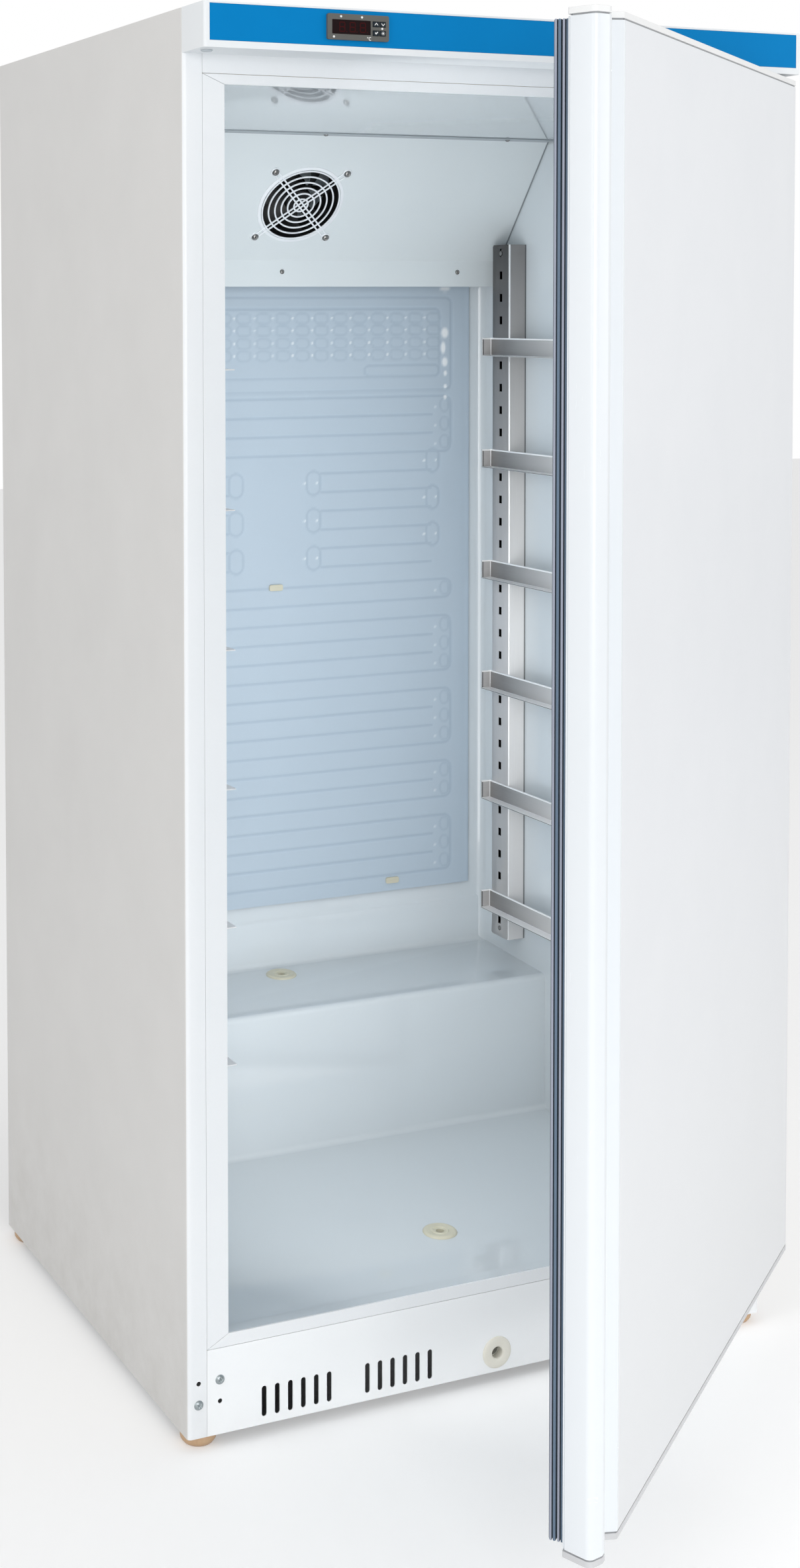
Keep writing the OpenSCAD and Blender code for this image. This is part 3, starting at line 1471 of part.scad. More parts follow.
module door_insulation() {
    g = foam_gap;
    z0 = door_z0 + cap_t + cap_plug + g;
    z1 = door_z1 - cap_t - cap_plug - g;
    color([0.93, 0.88, 0.72]) on_door()
        translate([half_w - profile_u + g, door_outer_y + sheet + g, z0])
            cube([profile_u - sheet - 4 - 2 * g, door_t - sheet - inner_t - 2 * g, z1 - z0]);
}

// Ribbed section of the gasket: across its width, and from the inner panel to the front face
gasket_section = let (h = gasket_t - gasket_clear, w = gasket_w) [
    [0, 0], [w, 0], [w, 0.2 * h], [w - 4, 0.28 * h], [w - 1.5, 0.42 * h], [w - 4, 0.55 * h],
    [w - 1.5, 0.68 * h], [w - 2, h], [2, h], [1.5, 0.68 * h], [4, 0.55 * h], [1.5, 0.42 * h],
    [4, 0.28 * h], [0, 0.2 * h]
];

// One mitred length of gasket along X, its outer edge at z = 0 and its width upwards
module gasket_length(half) {
    g = 0.1;
    cut = 3 * gasket_w;
    difference() {
        across(half) polygon([for (p = gasket_section) [door_inner_y + p[1], p[0]]]);
        for (s = [-1, 1]) translate([s * (half - g), 0, 0]) rotate([0, -s * 45, 0])
            translate([s > 0 ? 0 : -cut, -gasket_t - 5, -cut]) cube([cut, gasket_t + 10, 2 * cut]);
    }
}

module door_gasket() {
    mid = (gasket_z0 + gasket_z1) / 2;
    tall = (gasket_z1 - gasket_z0) / 2;
    color([0.42, 0.47, 0.51]) on_door() {
        translate([0, 0, gasket_z0]) gasket_length(gasket_x);
        translate([0, 0, gasket_z1]) mirror([0, 0, 1]) gasket_length(gasket_x);
        translate([gasket_x, 0, mid]) rotate([0, -90, 0]) gasket_length(tall);
        translate([-gasket_x, 0, mid]) rotate([0, 90, 0]) gasket_length(tall);
    }
}

side_panel_left();
side_panel_right();
top_panel();
back_panel();
base_pan();
underside_panel();
plinth_panel();
top_rail();
front_frame();
inner_liner();
cabinet_insulation();
header_box();
header_strip();
header_plug();
controller_case();
display_window();
key_up();
key_down();
key_set();
key_timer();
fan_cover();
fan_grille();
fan_housing();
fan_motor();
fan_impeller();
fan_screws();
cover_screws();
evaporator_plate();
evaporator_clips();
tray_uprights();
upright_screws();
tray_runners_1();
tray_runners_2();
tray_runners_3();
tray_runners_4();
tray_runners_5();
tray_runners_6();
drain_plugs();
drain_bushing();
drain_tubes();
evaporation_pan();
compressor();
compressor_mounts();
compressor_relay();
condenser();
condenser_clips();
refrigerant_lines();
mains_terminal_box();
feet();
hinge_bracket_top();
hinge_bracket_bottom();
hinge_screws();
door_outer_panel();
door_handle_profile();
door_cap_top();
door_cap_bottom();
door_inner_panel();
door_insulation();
door_gasket();
hinge_bushes();
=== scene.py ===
# Upright bakery refrigerator with its door standing open.
# Sizes in the settings are millimetres: x to the right, depth back from the cabinet's front face, z up.
import json
import math
import bmesh
import bpy
import numpy as np
from mathutils import Matrix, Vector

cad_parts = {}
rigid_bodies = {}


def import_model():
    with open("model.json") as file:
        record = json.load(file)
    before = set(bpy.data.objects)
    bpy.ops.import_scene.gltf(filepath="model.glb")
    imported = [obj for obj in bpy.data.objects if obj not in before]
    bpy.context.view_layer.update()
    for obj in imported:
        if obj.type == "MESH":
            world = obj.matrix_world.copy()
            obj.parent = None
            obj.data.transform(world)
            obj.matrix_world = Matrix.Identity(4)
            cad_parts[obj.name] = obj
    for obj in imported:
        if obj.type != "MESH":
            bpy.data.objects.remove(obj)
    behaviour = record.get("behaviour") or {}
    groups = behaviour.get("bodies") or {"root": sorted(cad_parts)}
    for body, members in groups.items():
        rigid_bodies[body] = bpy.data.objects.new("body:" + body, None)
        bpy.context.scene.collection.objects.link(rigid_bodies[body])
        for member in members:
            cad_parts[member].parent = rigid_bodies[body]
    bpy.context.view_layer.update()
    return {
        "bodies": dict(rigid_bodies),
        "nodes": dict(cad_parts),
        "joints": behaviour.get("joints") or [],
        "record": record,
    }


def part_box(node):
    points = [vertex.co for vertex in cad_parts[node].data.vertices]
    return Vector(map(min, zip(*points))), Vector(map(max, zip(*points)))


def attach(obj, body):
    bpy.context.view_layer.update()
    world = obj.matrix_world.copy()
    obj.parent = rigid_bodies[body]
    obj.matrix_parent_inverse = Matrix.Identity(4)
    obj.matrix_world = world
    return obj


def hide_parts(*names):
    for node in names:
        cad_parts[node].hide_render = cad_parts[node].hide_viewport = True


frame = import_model()
nodes = frame["nodes"]
bodyOfNode = {
    member: body for body, members in frame["record"]["behaviour"]["bodies"].items() for member in members
}
print("frame loaded:", len(nodes), "nodes")

cabinetFront = -365.0  # depth of the front face in the shared frame
hinge = {"x": 433.0, "depth": -38.0, "openDegrees": 39.25}  # where the door turns, and how far it stands open


# Places

# x, depth and z in millimetres carried to the shared frame in metres
def atFront(points):
    points = np.asarray(points, float)
    return (points + [0.0, cabinetFront, 0.0]) / 1000.0


# the way back: places in the shared frame as x, depth and z in millimetres
def toFront(places):
    return places * 1000 - [0.0, cabinetFront, 0.0]


# places on the closed door, turned about its hinge to where it stands open, in the shared frame
def onDoor(points):
    points = np.asarray(points, float)
    turn = math.radians(hinge["openDegrees"])
    x = points[..., 0] - hinge["x"]
    y = points[..., 1] - hinge["depth"]
    turned = np.stack([
        hinge["x"] + x * math.cos(turn) - y * math.sin(turn),
        hinge["depth"] + x * math.sin(turn) + y * math.cos(turn),
        points[..., 2],
    ], -1)
    return atFront(turned)


# a plane's own x, y and height out of it, carried to x, depth and z
def onPlane(points, origin, xAxis, yAxis):
    points = np.asarray(points, float)
    xAxis, yAxis = np.asarray(xAxis, float), np.asarray(yAxis, float)
    out = np.cross(xAxis, yAxis)
    across = points[..., :1] * xAxis + points[..., 1:2] * yAxis
    return np.asarray(origin, float) + across + points[..., 2:] * out


# Meshes

# quads between the neighbours of a grid of points; a closed direction joins its last row to its first
def sheetOf(grid, closeU=False, closeV=False):
    rows, columns = grid.shape[:2]
    i = np.arange(rows if closeU else rows - 1)[:, None]
    j = np.arange(columns if closeV else columns - 1)[None, :]
    nextI, nextJ = (i + 1) % rows, (j + 1) % columns
    quads = np.stack([i * columns + j, nextI * columns + j, nextI * columns + nextJ, i * columns + nextJ], -1)
    return grid.reshape(-1, 3), quads.reshape(-1, 4).tolist()


# a profile of radii and heights turned round the plane's normal: (r cos a, r sin a, h)
def turnedForm(profile, steps=48):
    profile = np.asarray(profile, float)
    angle = np.linspace(0, 2 * math.pi, steps, endpoint=False)
    r, h = profile[:, 0][:, None], profile[:, 1][:, None]
    return np.stack([r * np.cos(angle), r * np.sin(angle), h + 0 * angle], -1)


# a grid whose rows are closed outlines, with its first and last rows filled in
def closedForm(grid):
    points, quads = sheetOf(grid, closeV=True)
    rows, columns = grid.shape[:2]
    lids = [list(range(columns)), list(range((rows - 1) * columns, rows * columns))[::-1]]
    return points, quads + lids


# a number or a vector for every item of a mesh, as an array
def readAll(items, what, width=3, kind=float):
    values = np.empty(len(items) * width, dtype=kind)
    items.foreach_get(what, values)
    return values.reshape(-1, width) if width > 1 else values


# reaches in metres, and the bends in degrees that count as flat and as an edge to soften
weld = {"points": 2e-6, "edges": 1e-6, "flatDegrees": 0.4, "edgeDegrees": 40}


# a mesh shown on its body: its points welded, its faces mended, and smooth up to an angle between them
def showPiece(name, mesh, finishNames, body, replaced, smooth, mend):
    work = bmesh.new()
    work.from_mesh(mesh)
    bmesh.ops.remove_doubles(work, verts=work.verts, dist=weld["points"])
    mend(work)
    work.to_mesh(mesh)
    work.free()
    mesh.shade_smooth()
    mesh.set_sharp_from_angle(angle=math.radians(smooth))
    piece = bpy.data.objects.new(name, mesh)
    bpy.context.scene.collection.objects.link(piece)
    for finish in finishNames:
        mesh.materials.append(finishes[finish])
    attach(piece, body)
    if replaced:
        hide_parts(*replaced)
    return piece


# a new piece's faces: none without area, and all turned outwards
def turnOutwards(work):
    bmesh.ops.dissolve_degenerate(work, dist=weld["edges"], edges=work.edges)
    bmesh.ops.recalc_face_normals(work, faces=work.faces)


# a CAD node's triangles joined where they are flat, so that only its true edges are softened
def joinFlats(work):
    flat = math.radians(weld["flatDegrees"])
    bmesh.ops.dissolve_limit(
        work, angle_limit=flat, verts=work.verts, edges=work.edges, delimit={"NORMAL"}
    )


# one mesh from several parts, each with its points, its faces and, where it differs, its finish
def makePiece(name, parts, material, body, replaced=(), smooth=35):
    points, faces, materialIndex, count = [], [], [], 0
    finishNames = [material]
    for partPoints, partFaces, *ownFinish in parts:
        finish = ownFinish[0] if ownFinish else material
        if finish not in finishNames:
            finishNames.append(finish)
        points.append(np.asarray(partPoints, float).reshape(-1, 3))
        faces += [[k + count for k in face] for face in partFaces]
        materialIndex += [finishNames.index(finish)] * len(partFaces)
        count += len(points[-1])
    mesh = bpy.data.meshes.new(name)
    mesh.from_pydata(np.concatenate(points).tolist(), [], faces)
    mesh.polygons.foreach_set("material_index", materialIndex)
    return showPiece(name, mesh, finishNames, body, replaced, smooth, turnOutwards)


# a merged copy of a CAD node with softened edges, shown in its place
def dressNode(node, finish, slot, edge=0.0, segments=2):
    source = nodes[node].data
    triangles = readAll(source.loops, "vertex_index", 1, np.int64).reshape(-1, 3)
    mesh = bpy.data.meshes.new(node + "_dressed")
    mesh.from_pydata(readAll(source.vertices, "co").tolist(), [], triangles.tolist())
    piece = showPiece(node + "_dressed", mesh, [finish], bodyOfNode[node], [node], 30, joinFlats)
    if edge > 0:
        bevel = piece.modifiers.new("soft edge", "BEVEL")
        bevel.width = edge / 1000
        bevel.segments = segments
        bevel.limit_method = "ANGLE"
        bevel.angle_limit = math.radians(weld["edgeDegrees"])
        bevel.harden_normals = True
    return piece


# every node of a table of finish, slot and edge
def dressAll(table):
    return {node: dressNode(node, *choice) for node, choice in table.items()}


squarely = 0.7  # a face looks along an axis when its normal has more of it than this


# another finish for the faces that a rule picks by their middles, in millimetres, and their normals
def paintFaces(piece, finish, picks):
    polygons = piece.data.polygons
    index = readAll(polygons, "material_index", 1, np.int64)
    picked = picks(toFront(readAll(polygons, "center")), readAll(polygons, "normal"))
    index[picked] = len(piece.data.materials)
    piece.data.materials.append(finishes[finish])
    polygons.foreach_set("material_index", index)


# Finishes

# a node of a shader tree, with its own settings and its sockets given as values or links
def addNode(tree, kind, settings=None, inputs=None):
    node = tree.nodes.new("ShaderNode" + kind)
    for key, value in (settings or {}).items():
        setattr(node, key, value)
    for key, value in (inputs or {}).items():
        socket = node.inputs[key]
        if isinstance(value, bpy.types.NodeSocket):
            tree.links.new(value, socket)
        else:
            socket.default_value = value
    return node


# a sum, a product or another operation on values or links
def calculate(tree, operation, *values):
    return addNode(tree, "Math", {"operation": operation}, dict(enumerate(values))).outputs[0]


# a value held between 0 and 1
def limited(tree, value):
    return addNode(tree, "Clamp", {}, {"Value": value}).outputs[0]


# a range of values carried in proportion to another range, and held at its ends
def spread(tree, value, low, high, toLow, toHigh):
    keys = ["Value", "From Min", "From Max", "To Min", "To Max"]
    return addNode(tree, "MapRange", {}, dict(zip(keys, [value, low, high, toLow, toHigh]))).outputs[0]


# a vector with each of its parts multiplied by a factor of its own
def stretched(tree, vector, factors):
    return addNode(tree, "VectorMath", {"operation": "MULTIPLY"}, {0: vector, 1: factors}).outputs[0]


# a screen colour of 0 to 255 as Blender's linear colour
def screenColour(rgb):
    c = np.asarray(rgb, float) / 255
    return (*np.where(c <= 0.04045, c / 12.92, ((c + 0.055) / 1.055) ** 2.4), 1.0)


# a colour turned to a screen colour by a share
def mixColour(tree, share, colour, screenRgb):
    return addNode(tree, "MixRGB", {}, {0: share, 1: colour, 2: screenColour(screenRgb)}).outputs[0]


# a node group with its named inputs, each with a kind and a value, and its named outputs
def newEffect(name, inputs, outputs):
    tree = bpy.data.node_groups.new(name, "ShaderNodeTree")
    for label, kind, value in inputs:
        socket = tree.interface.new_socket(label, in_out="INPUT", socket_type="NodeSocket" + kind)
        if value is not None:
            socket.default_value = value
    for label in outputs:
        tree.interface.new_socket(label, in_out="OUTPUT", socket_type="NodeSocketFloat")
    return tree, tree.nodes.new("NodeGroupInput").outputs, tree.nodes.new("NodeGroupOutput").inputs


# a cloudy noise between 0 and 1, its scale in waves per metre
def noise(tree, vector, scale, detail=2.0, roughness=0.5, distortion=0.0):
    return addNode(tree, "TexNoise", {}, {
        "Vector": vector, "Scale": scale, "Detail": detail, "Roughness": roughness, "Distortion": distortion,
    }).outputs[0]


# shares of the fine grain and of the broad blotches, and how much coarser the blotches are
grainMix = {"fine": 0.55, "broad": 0.45, "broadScale": 0.012}


# fine sprayed grain over broad, faint blotches, added by their shares
def sprayGrainEffect():
    tree, given, out = newEffect(
        "sprayGrain", [("Vector", "Vector", None), ("Scale", "Float", 900.0), ("Contrast", "Float", 0.5)],
        ["Tone", "Height"],
    )
    fine = noise(tree, given["Vector"], given["Scale"], 2.0, 0.6)
    broadScale = calculate(tree, "MULTIPLY", given["Scale"], grainMix["broadScale"])
    broad = noise(tree, given["Vector"], broadScale, 3.0, 0.55)
    fineShare = calculate(tree, "MULTIPLY", fine, grainMix["fine"])
    broadShare = calculate(tree, "MULTIPLY", broad, grainMix["broad"])
    centred = calculate(tree, "SUBTRACT", calculate(tree, "ADD", fineShare, broadShare), 0.5)
    scaled = calculate(tree, "MULTIPLY", centred, given["Contrast"])
    tree.links.new(limited(tree, calculate(tree, "ADD", scaled, 0.5)), out["Tone"])
    tree.links.new(fine, out["Height"])
    return tree


# slow waves that rolled sheet and moulded walls show in their reflections
def sheetWavesEffect():
    tree, given, out = newEffect("sheetWaves", [
        ("Vector", "Vector", None), ("Across", "Vector", (1.0, 1.0, 1.0)),
    ], ["Height"])
    across = stretched(tree, given["Vector"], given["Across"])
    tree.links.new(noise(tree, across, 1.0, 1.5, 0.4, 0.3), out["Height"])
    return tree


# between which noise values smears and scratches come up, and how scratches are drawn out upright
markRange = {"smear": (0.40, 0.85), "hair": (0.70, 0.74), "drawn": (90.0, 90.0, 6.0)}


# wiped smears and a few hair scratches
def handMarksEffect():
    tree, given, out = newEffect("handMarks", [
        ("Vector", "Vector", None), ("Scale", "Float", 6.0), ("Scratches", "Float", 0.3),
    ], ["Mask"])
    wiped = noise(tree, given["Vector"], given["Scale"], 5.0, 0.62, 1.2)
    smear = spread(tree, wiped, *markRange["smear"], 0.0, 1.0)
    upright = stretched(tree, given["Vector"], markRange["drawn"])
    hair = spread(tree, noise(tree, upright, 4.0, 2.0, 0.5, 0.6), *markRange["hair"], 0.0, 1.0)
    total = calculate(tree, "ADD", smear, calculate(tree, "MULTIPLY", hair, given["Scratches"]))
    tree.links.new(limited(tree, total), out["Mask"])
    return tree


# fine parallel lines of brushed metal, drawn out along the direction with the smallest stretch
def brushedLinesEffect():
    tree, given, out = newEffect("brushedLines", [
        ("Vector", "Vector", None), ("Stretch", "Vector", (2000.0, 12.0, 2000.0)),
    ], ["Lines"])
    drawn = stretched(tree, given["Vector"], given["Stretch"])
    tree.links.new(noise(tree, drawn, 1.0, 3.0, 0.7), out["Lines"])
    return tree


# how level a face is that holds dust, and how much it holds; the patches' noise and the least they keep
dustRange = {"level": (0.6, 1.0), "onTop": 0.5, "scale": 22.0, "patches": (0.35, 0.75), "least": 0.15}


# dust on what faces up, and grime that thins out over the floor
def restingDustEffect():
    tree, given, out = newEffect("restingDust", [
        ("Vector", "Vector", None), ("Reach", "Float", 0.25),
    ], ["Mask"])
    facing = addNode(tree, "SeparateXYZ", {}, {0: addNode(tree, "NewGeometry").outputs["Normal"]}).outputs[2]
    top = spread(tree, facing, *dustRange["level"], 0.0, dustRange["onTop"])
    height = addNode(tree, "SeparateXYZ", {}, {0: given["Vector"]}).outputs[2]
    low = spread(tree, calculate(tree, "DIVIDE", height, given["Reach"]), 0.0, 1.0, 1.0, 0.0)
    cloud = noise(tree, given["Vector"], dustRange["scale"], 4.0, 0.65)
    patches = spread(tree, cloud, *dustRange["patches"], dustRange["least"], 1.0)
    total = calculate(tree, "MULTIPLY", calculate(tree, "MAXIMUM", top, low), patches)
    tree.links.new(limited(tree, total), out["Mask"])
    return tree


effects = {
    "sprayGrain": sprayGrainEffect(), "sheetWaves": sheetWavesEffect(), "handMarks": handMarksEffect(),
    "brushedLines": brushedLinesEffect(), "restingDust": restingDustEffect(),
}
finishes = {}
# what a finish has unless its own dictionary says otherwise; depths of grain and waves in millimetres
plainLook = {
    "contrast": 1.0, "grainScale": 900.0, "grainDepth": 0.02, "brush": None, "smear": 0.08,
    "smearScale": 6.0, "scratches": 0.3, "dust": 0.0, "dustReach": 0.25, "dustColour": (150, 143, 130),
    "fades": [], "joints": [], "rimHighlights": [], "metallic": 0.0, "specular": 0.5, "coat": 0.0,
    "coatRoughness": 0.1, "waveDepth": 0.0,
}
jointShare, smearShare = 0.8, 0.6  # how far a joint covers the paint, and a smear roughens it
brushMix = {"tone": 0.3, "range": (0.35, 0.95)}  # the grain's share in brushed lines, and the lines' contrast


# one of the effects as a node of a finish
def placeEffect(tree, name, inputs):
    return addNode(tree, "Group", {"node_tree": effects[name]}, inputs)


# a finish from one dictionary: two colours that the grain mixes, then dust, bands, smears, grain and waves.
# A fade turns to its colour along one axis, a joint does so away from the middle on both sides, and rim
# highlights are bands that come back at a pitch; all three are in metres, and here they mostly paint light
# and shade: painted shade, painted highlights and painted reflections.
def makeFinish(name, ownLook):
    look = {**plainLook, **ownLook}
    material = bpy.data.materials.new(name)
    material.use_nodes = True
    tree = material.node_tree
    shader = tree.nodes["Principled BSDF"]
    where = addNode(tree, "TexCoord").outputs["Object"]
    grain = placeEffect(tree, "sprayGrain", {
        "Vector": where, "Scale": look["grainScale"], "Contrast": look["contrast"],
    })
    tone, relief = grain.outputs["Tone"], grain.outputs["Height"]
    if look["brush"]:
        lines = placeEffect(tree, "brushedLines", {"Vector": where, "Stretch": look["brush"]})
        relief = lines.outputs["Lines"]
        brushed = calculate(tree, "ADD", relief, calculate(tree, "MULTIPLY", tone, brushMix["tone"]))
        tone = spread(tree, brushed, *brushMix["range"], 0, 1)
    colour = mixColour(tree, tone, screenColour(look["colour"]), look["second"])
    marks = placeEffect(tree, "handMarks", {
        "Vector": where, "Scale": look["smearScale"], "Scratches": look["scratches"],
    }).outputs["Mask"]
    if look["dust"] > 0:
        resting = placeEffect(tree, "restingDust", {"Vector": where, "Reach": look["dustReach"]})
        share = calculate(tree, "MULTIPLY", resting.outputs["Mask"], look["dust"])
        colour = mixColour(tree, share, colour, look["dustColour"])
    places = addNode(tree, "SeparateXYZ", {}, {0: where}).outputs
    for axis, near, far, faded in look["fades"]:
        colour = mixColour(tree, spread(tree, places[axis], near, far, 0.0, 1.0), colour, faded)
    for axis, near, far, joint in look["joints"]:
        away = calculate(tree, "ABSOLUTE", places[axis])
        colour = mixColour(tree, spread(tree, away, near, far, 0.0, jointShare), colour, joint)
    for axis, start, pitch, middle, half, rim in look["rimHighlights"]:
        height = calculate(tree, "MODULO", calculate(tree, "SUBTRACT", places[axis], start), pitch)
        colour = mixColour(tree, calculate(tree, "COMPARE", height, middle, half), colour, rim)
    tree.links.new(colour, shader.inputs["Base Color"])
    rough = look["roughness"]
    smeared = spread(tree, marks, 0.0, 1.0, rough, rough + smearShare * look["smear"])
    tree.links.new(smeared, shader.inputs["Roughness"])
    for socket, key in (("Metallic", "metallic"), ("Specular IOR Level", "specular"), ("Coat Weight", "coat"),
                        ("Coat Roughness", "coatRoughness")):
        shader.inputs[socket].default_value = look[key]
    normal = addNode(tree, "Bump", {}, {
        "Strength": 1.0, "Distance": look["grainDepth"] / 1000, "Height": relief,
    }).outputs[0]
    if look["waveDepth"] > 0:
        waves = placeEffect(tree, "sheetWaves", {"Vector": where, "Across": look["waves"]})
        normal = addNode(tree, "Bump", {}, {
            "Strength": 1.0, "Distance": look["waveDepth"] / 1000, "Height": waves.outputs[0],
            "Normal": normal,
        }).outputs[0]
    tree.links.new(normal, shader.inputs["Normal"])
    finishes[name] = material
    return material


# the finishes of a dictionary of looks, in its order
def makeFinishes(looks):
    for name, look in looks.items():
        makeFinish(name, look)


# Cabinet shell
glossPaint = {"roughness": 0.30, "smear": 0.10, "waves": (4.0, 4.0, 2.0), "waveDepth": 0.5}
cabinetPaint = {
    "sidePaint": {
        "colour": (224, 223, 221), "second": (212, 211, 209), "contrast": 1.6, "grainScale": 700.0,
        "grainDepth": 0.05, "roughness": 0.42, "smear": 0.06, "waves": (3.0, 3.0, 1.2), "waveDepth": 0.8,
        "dust": 0.22, "dustReach": 0.30, "scratches": 0.5,
    },
    "whitePaint": {
        **glossPaint, "colour": (242, 244, 246), "second": (233, 237, 240), "dust": 0.12, "dustReach": 0.12,
    },
    # the plinth is the frame's white sheet painted lighter, a painted light against the shade the door casts
    # on it
    "plinthLitPaint": {
        **glossPaint, "colour": (250, 252, 253), "second": (243, 246, 248), "dust": 0.06, "dustReach": 0.08,
    },
    "greyPaint": {
        "colour": (190, 192, 194), "second": (176, 178, 181), "contrast": 1.4, "grainScale": 600.0,
        "grainDepth": 0.04, "roughness": 0.48, "smear": 0.1, "waves": (3.0, 3.0, 3.0), "waveDepth": 0.8,
        "dust": 0.35, "dustReach": 0.5,
    },
    "zincSheet": {
        "colour": (190, 192, 194), "second": (160, 163, 167), "contrast": 2.4, "grainScale": 260.0,
        "grainDepth": 0.03, "roughness": 0.36, "smear": 0.16, "metallic": 1.0, "dust": 0.35,
        "dustReach": 0.35,
    },
    "foam": {
        "colour": (238, 222, 176), "second": (214, 192, 140), "contrast": 2.2, "grainScale": 420.0,
        "grainDepth": 0.5, "roughness": 0.9, "smear": 0.05, "specular": 0.2,
    },
}
makeFinishes(cabinetPaint)
cabinetShell = {
    "side_panel_left": ("sidePaint", "side_steel", 0.0), "side_panel_right": ("sidePaint", "side_steel", 0.0),
    "top_panel": ("whitePaint", "white_steel", 0.0), "back_panel": ("greyPaint", "grey_steel", 0.0),
    "base_pan": ("zincSheet", "bare_steel", 0.25), "underside_panel": ("zincSheet", "bare_steel", 0.0),
    "plinth_panel": ("plinthLitPaint", "white_steel", 0.25), "top_rail": ("whitePaint", "white_steel", 0.25),
    "front_frame": ("whitePaint", "white_steel", 0.5), "cabinet_insulation": ("foam", "foam", 0.0),
}
shell = dressAll(cabinetShell)
# the side panels' front flanges, faces forward within a reach, are as white as the frame between them
flange = {"forward": 0.5, "reach": 4}
for side in ("side_panel_left", "side_panel_right"):
    paintFaces(shell[side], "whitePaint", lambda middles, normals: (
        (normals[:, 1] < -flange["forward"]) & (middles[:, 1] < flange["reach"])
    ))
print("cabinet shell done")

# Liner: one white moulding, glossy enough to mirror the fan in its ceiling
linerLook = {
    "linerPlastic": {
        "colour": (221, 228, 232), "second": (214, 222, 227), "contrast": 0.8, "grainScale": 1400.0,
        "grainDepth": 0.002, "roughness": 0.06, "smear": 0.04, "smearScale": 4.0, "scratches": 0.2,
        "specular": 0.6, "coat": 0.4, "coatRoughness": 0.02, "waves": (3.0, 2.5, 2.5), "waveDepth": 0.25,
        "dust": 0.05, "dustReach": 0.18, "dustColour": (170, 172, 172),
        # the ceiling above 1.7355 m, and the floor and step below 0.39 m, are painted darker: painted shade
        # on one moulding
        "fades": [(2, 1.733, 1.7355, (199, 206, 210)), (2, 0.43, 0.39, (210, 217, 221))],
    },
}
makeFinishes(linerLook)
dressNode("inner_liner", "linerPlastic", "liner_plastic")
print("liner done")

# Header with its blue strip and the blanking plug under its left end
headerLook = {
    "headerPlastic": {
        "colour": (238, 241, 243), "second": (231, 235, 238), "contrast": 0.8, "grainDepth": 0.01,
        "roughness": 0.42, "smear": 0.03, "scratches": 0.1, "specular": 0.3, "dust": 0.1, "dustReach": 0.01,
    },
    "blueStrip": {
        "colour": (0, 122, 188), "second": (4, 132, 198), "contrast": 1.2, "grainScale": 1500.0,
        "grainDepth": 0.012, "roughness": 0.4, "smear": 0.1, "smearScale": 9.0, "specular": 0.06,
    },
    "bezelPlastic": {
        "colour": (102, 102, 98), "second": (86, 86, 83), "contrast": 1.4, "grainScale": 1800.0,
        "grainDepth": 0.03, "roughness": 0.5, "specular": 0.3,
    },
    "plugPlastic": {
        "colour": (196, 203, 208), "second": (184, 191, 197), "contrast": 1.2, "grainScale": 1800.0,
        "roughness": 0.45,
    },
}
makeFinishes(headerLook)
dressNode("header_box", "headerPlastic", "header_plastic")
dressNode("header_strip", "blueStrip", "blue_plastic", 0.3)
dressNode("header_plug", "plugPlastic", "grey_plastic", 0.3)
print("header done")

# Controller: bezel, window with unlit digits, four keys with plain symbols, indicator lights
controller = {
    "front": -73.0, "window": (-249.6, 1825.7), "markRise": 0.12,
    "digits": {"shift": 1.5, "pitch": 14.5, "width": 7.2, "height": 11.5, "bar": 1.5, "sunk": 0.1,
               "rise": 0.06, "dotRadius": 0.9, "dotGap": 2.6},
    "lights": [(-264.5, 1838.6), (-235.0, 1838.6), (-274.5, 1813.0), (-206.2, 1825.6)],
    "lightRadius": 1.45, "lightRise": 0.35,
    "degreeSign": {"middle": (-226.8, 1813.6), "outer": 0.9, "inner": 0.5},
    "letter": {"middle": (-223.3, 1812.2), "outer": 2.3, "inner": 1.55, "narrow": 0.9, "openDegrees": 50},
    "finish": {
        "windowPlastic": {
            "colour": (16, 3, 5), "second": (26, 5, 7), "contrast": 1.2, "roughness": 0.3, "smear": 0.12,
            "grainDepth": 0.003, "specular": 0.12,
        },
        "unlitDigit": {
            "colour": (62, 8, 10), "second": (48, 6, 8), "roughness": 0.5, "specular": 0.1,
            "grainDepth": 0.01,
        },
        "markPaint": {
            "colour": (244, 244, 242), "second": (228, 229, 229), "roughness": 0.45,
        },
        "keyRubber": {
            "colour": (36, 45, 52), "second": (28, 35, 42), "contrast": 1.4, "grainScale": 1600.0,
            "grainDepth": 0.04, "roughness": 0.62, "smear": 0.1, "specular": 0.15,
        },
    },
}
makeFinishes(controller["finish"])


# a bar of a digit: a flat six-cornered outline between two ends, seen on the front face
def segmentOutline(start, end, width):
    start, end = np.asarray(start, float), np.asarray(end, float)
    along = (end - start) / np.linalg.norm(end - start)
    side = np.array([-along[1], along[0]]) * width / 2
    tip = along * width / 2
    return np.array([start, start + tip - side, end - tip - side, end, end - tip + side, start + tip + side])


# points of a flat mark at a depth, raised towards the viewer by its thickness
def frontMark(outline, depth, thickness):
    x, z = np.asarray(outline, float).T
    back = np.stack([x, np.full(len(x), depth), z], -1)
    front = back - [0.0, thickness, 0.0]
    points, faces = closedForm(np.stack([back, front]))
    return atFront(points), faces


# a circle, a radius round a middle, on the front face as x and z
def circleAt(middle, radius, steps):
    return np.array(middle) + turnedForm([[radius, 0]], steps)[0, :, :2]


# a digit's seven bars between its six corners, and the dot at its foot
def digitOutlines(middle):
    digits = controller["digits"]
    w, h = digits["width"] / 2, digits["height"] / 2
    corners = {"a": (-w, h), "b": (w, h), "c": (-w, 0), "d": (w, 0), "e": (-w, -h), "f": (w, -h)}
    bars = [segmentOutline(middle + corners[start], middle + corners[end], digits["bar"])
            for start, end in ("ab", "cd", "ef", "ac", "bd", "ce", "df")]
    return bars + [circleAt(middle + [w + digits["dotGap"], -h], digits["dotRadius"], 12)]


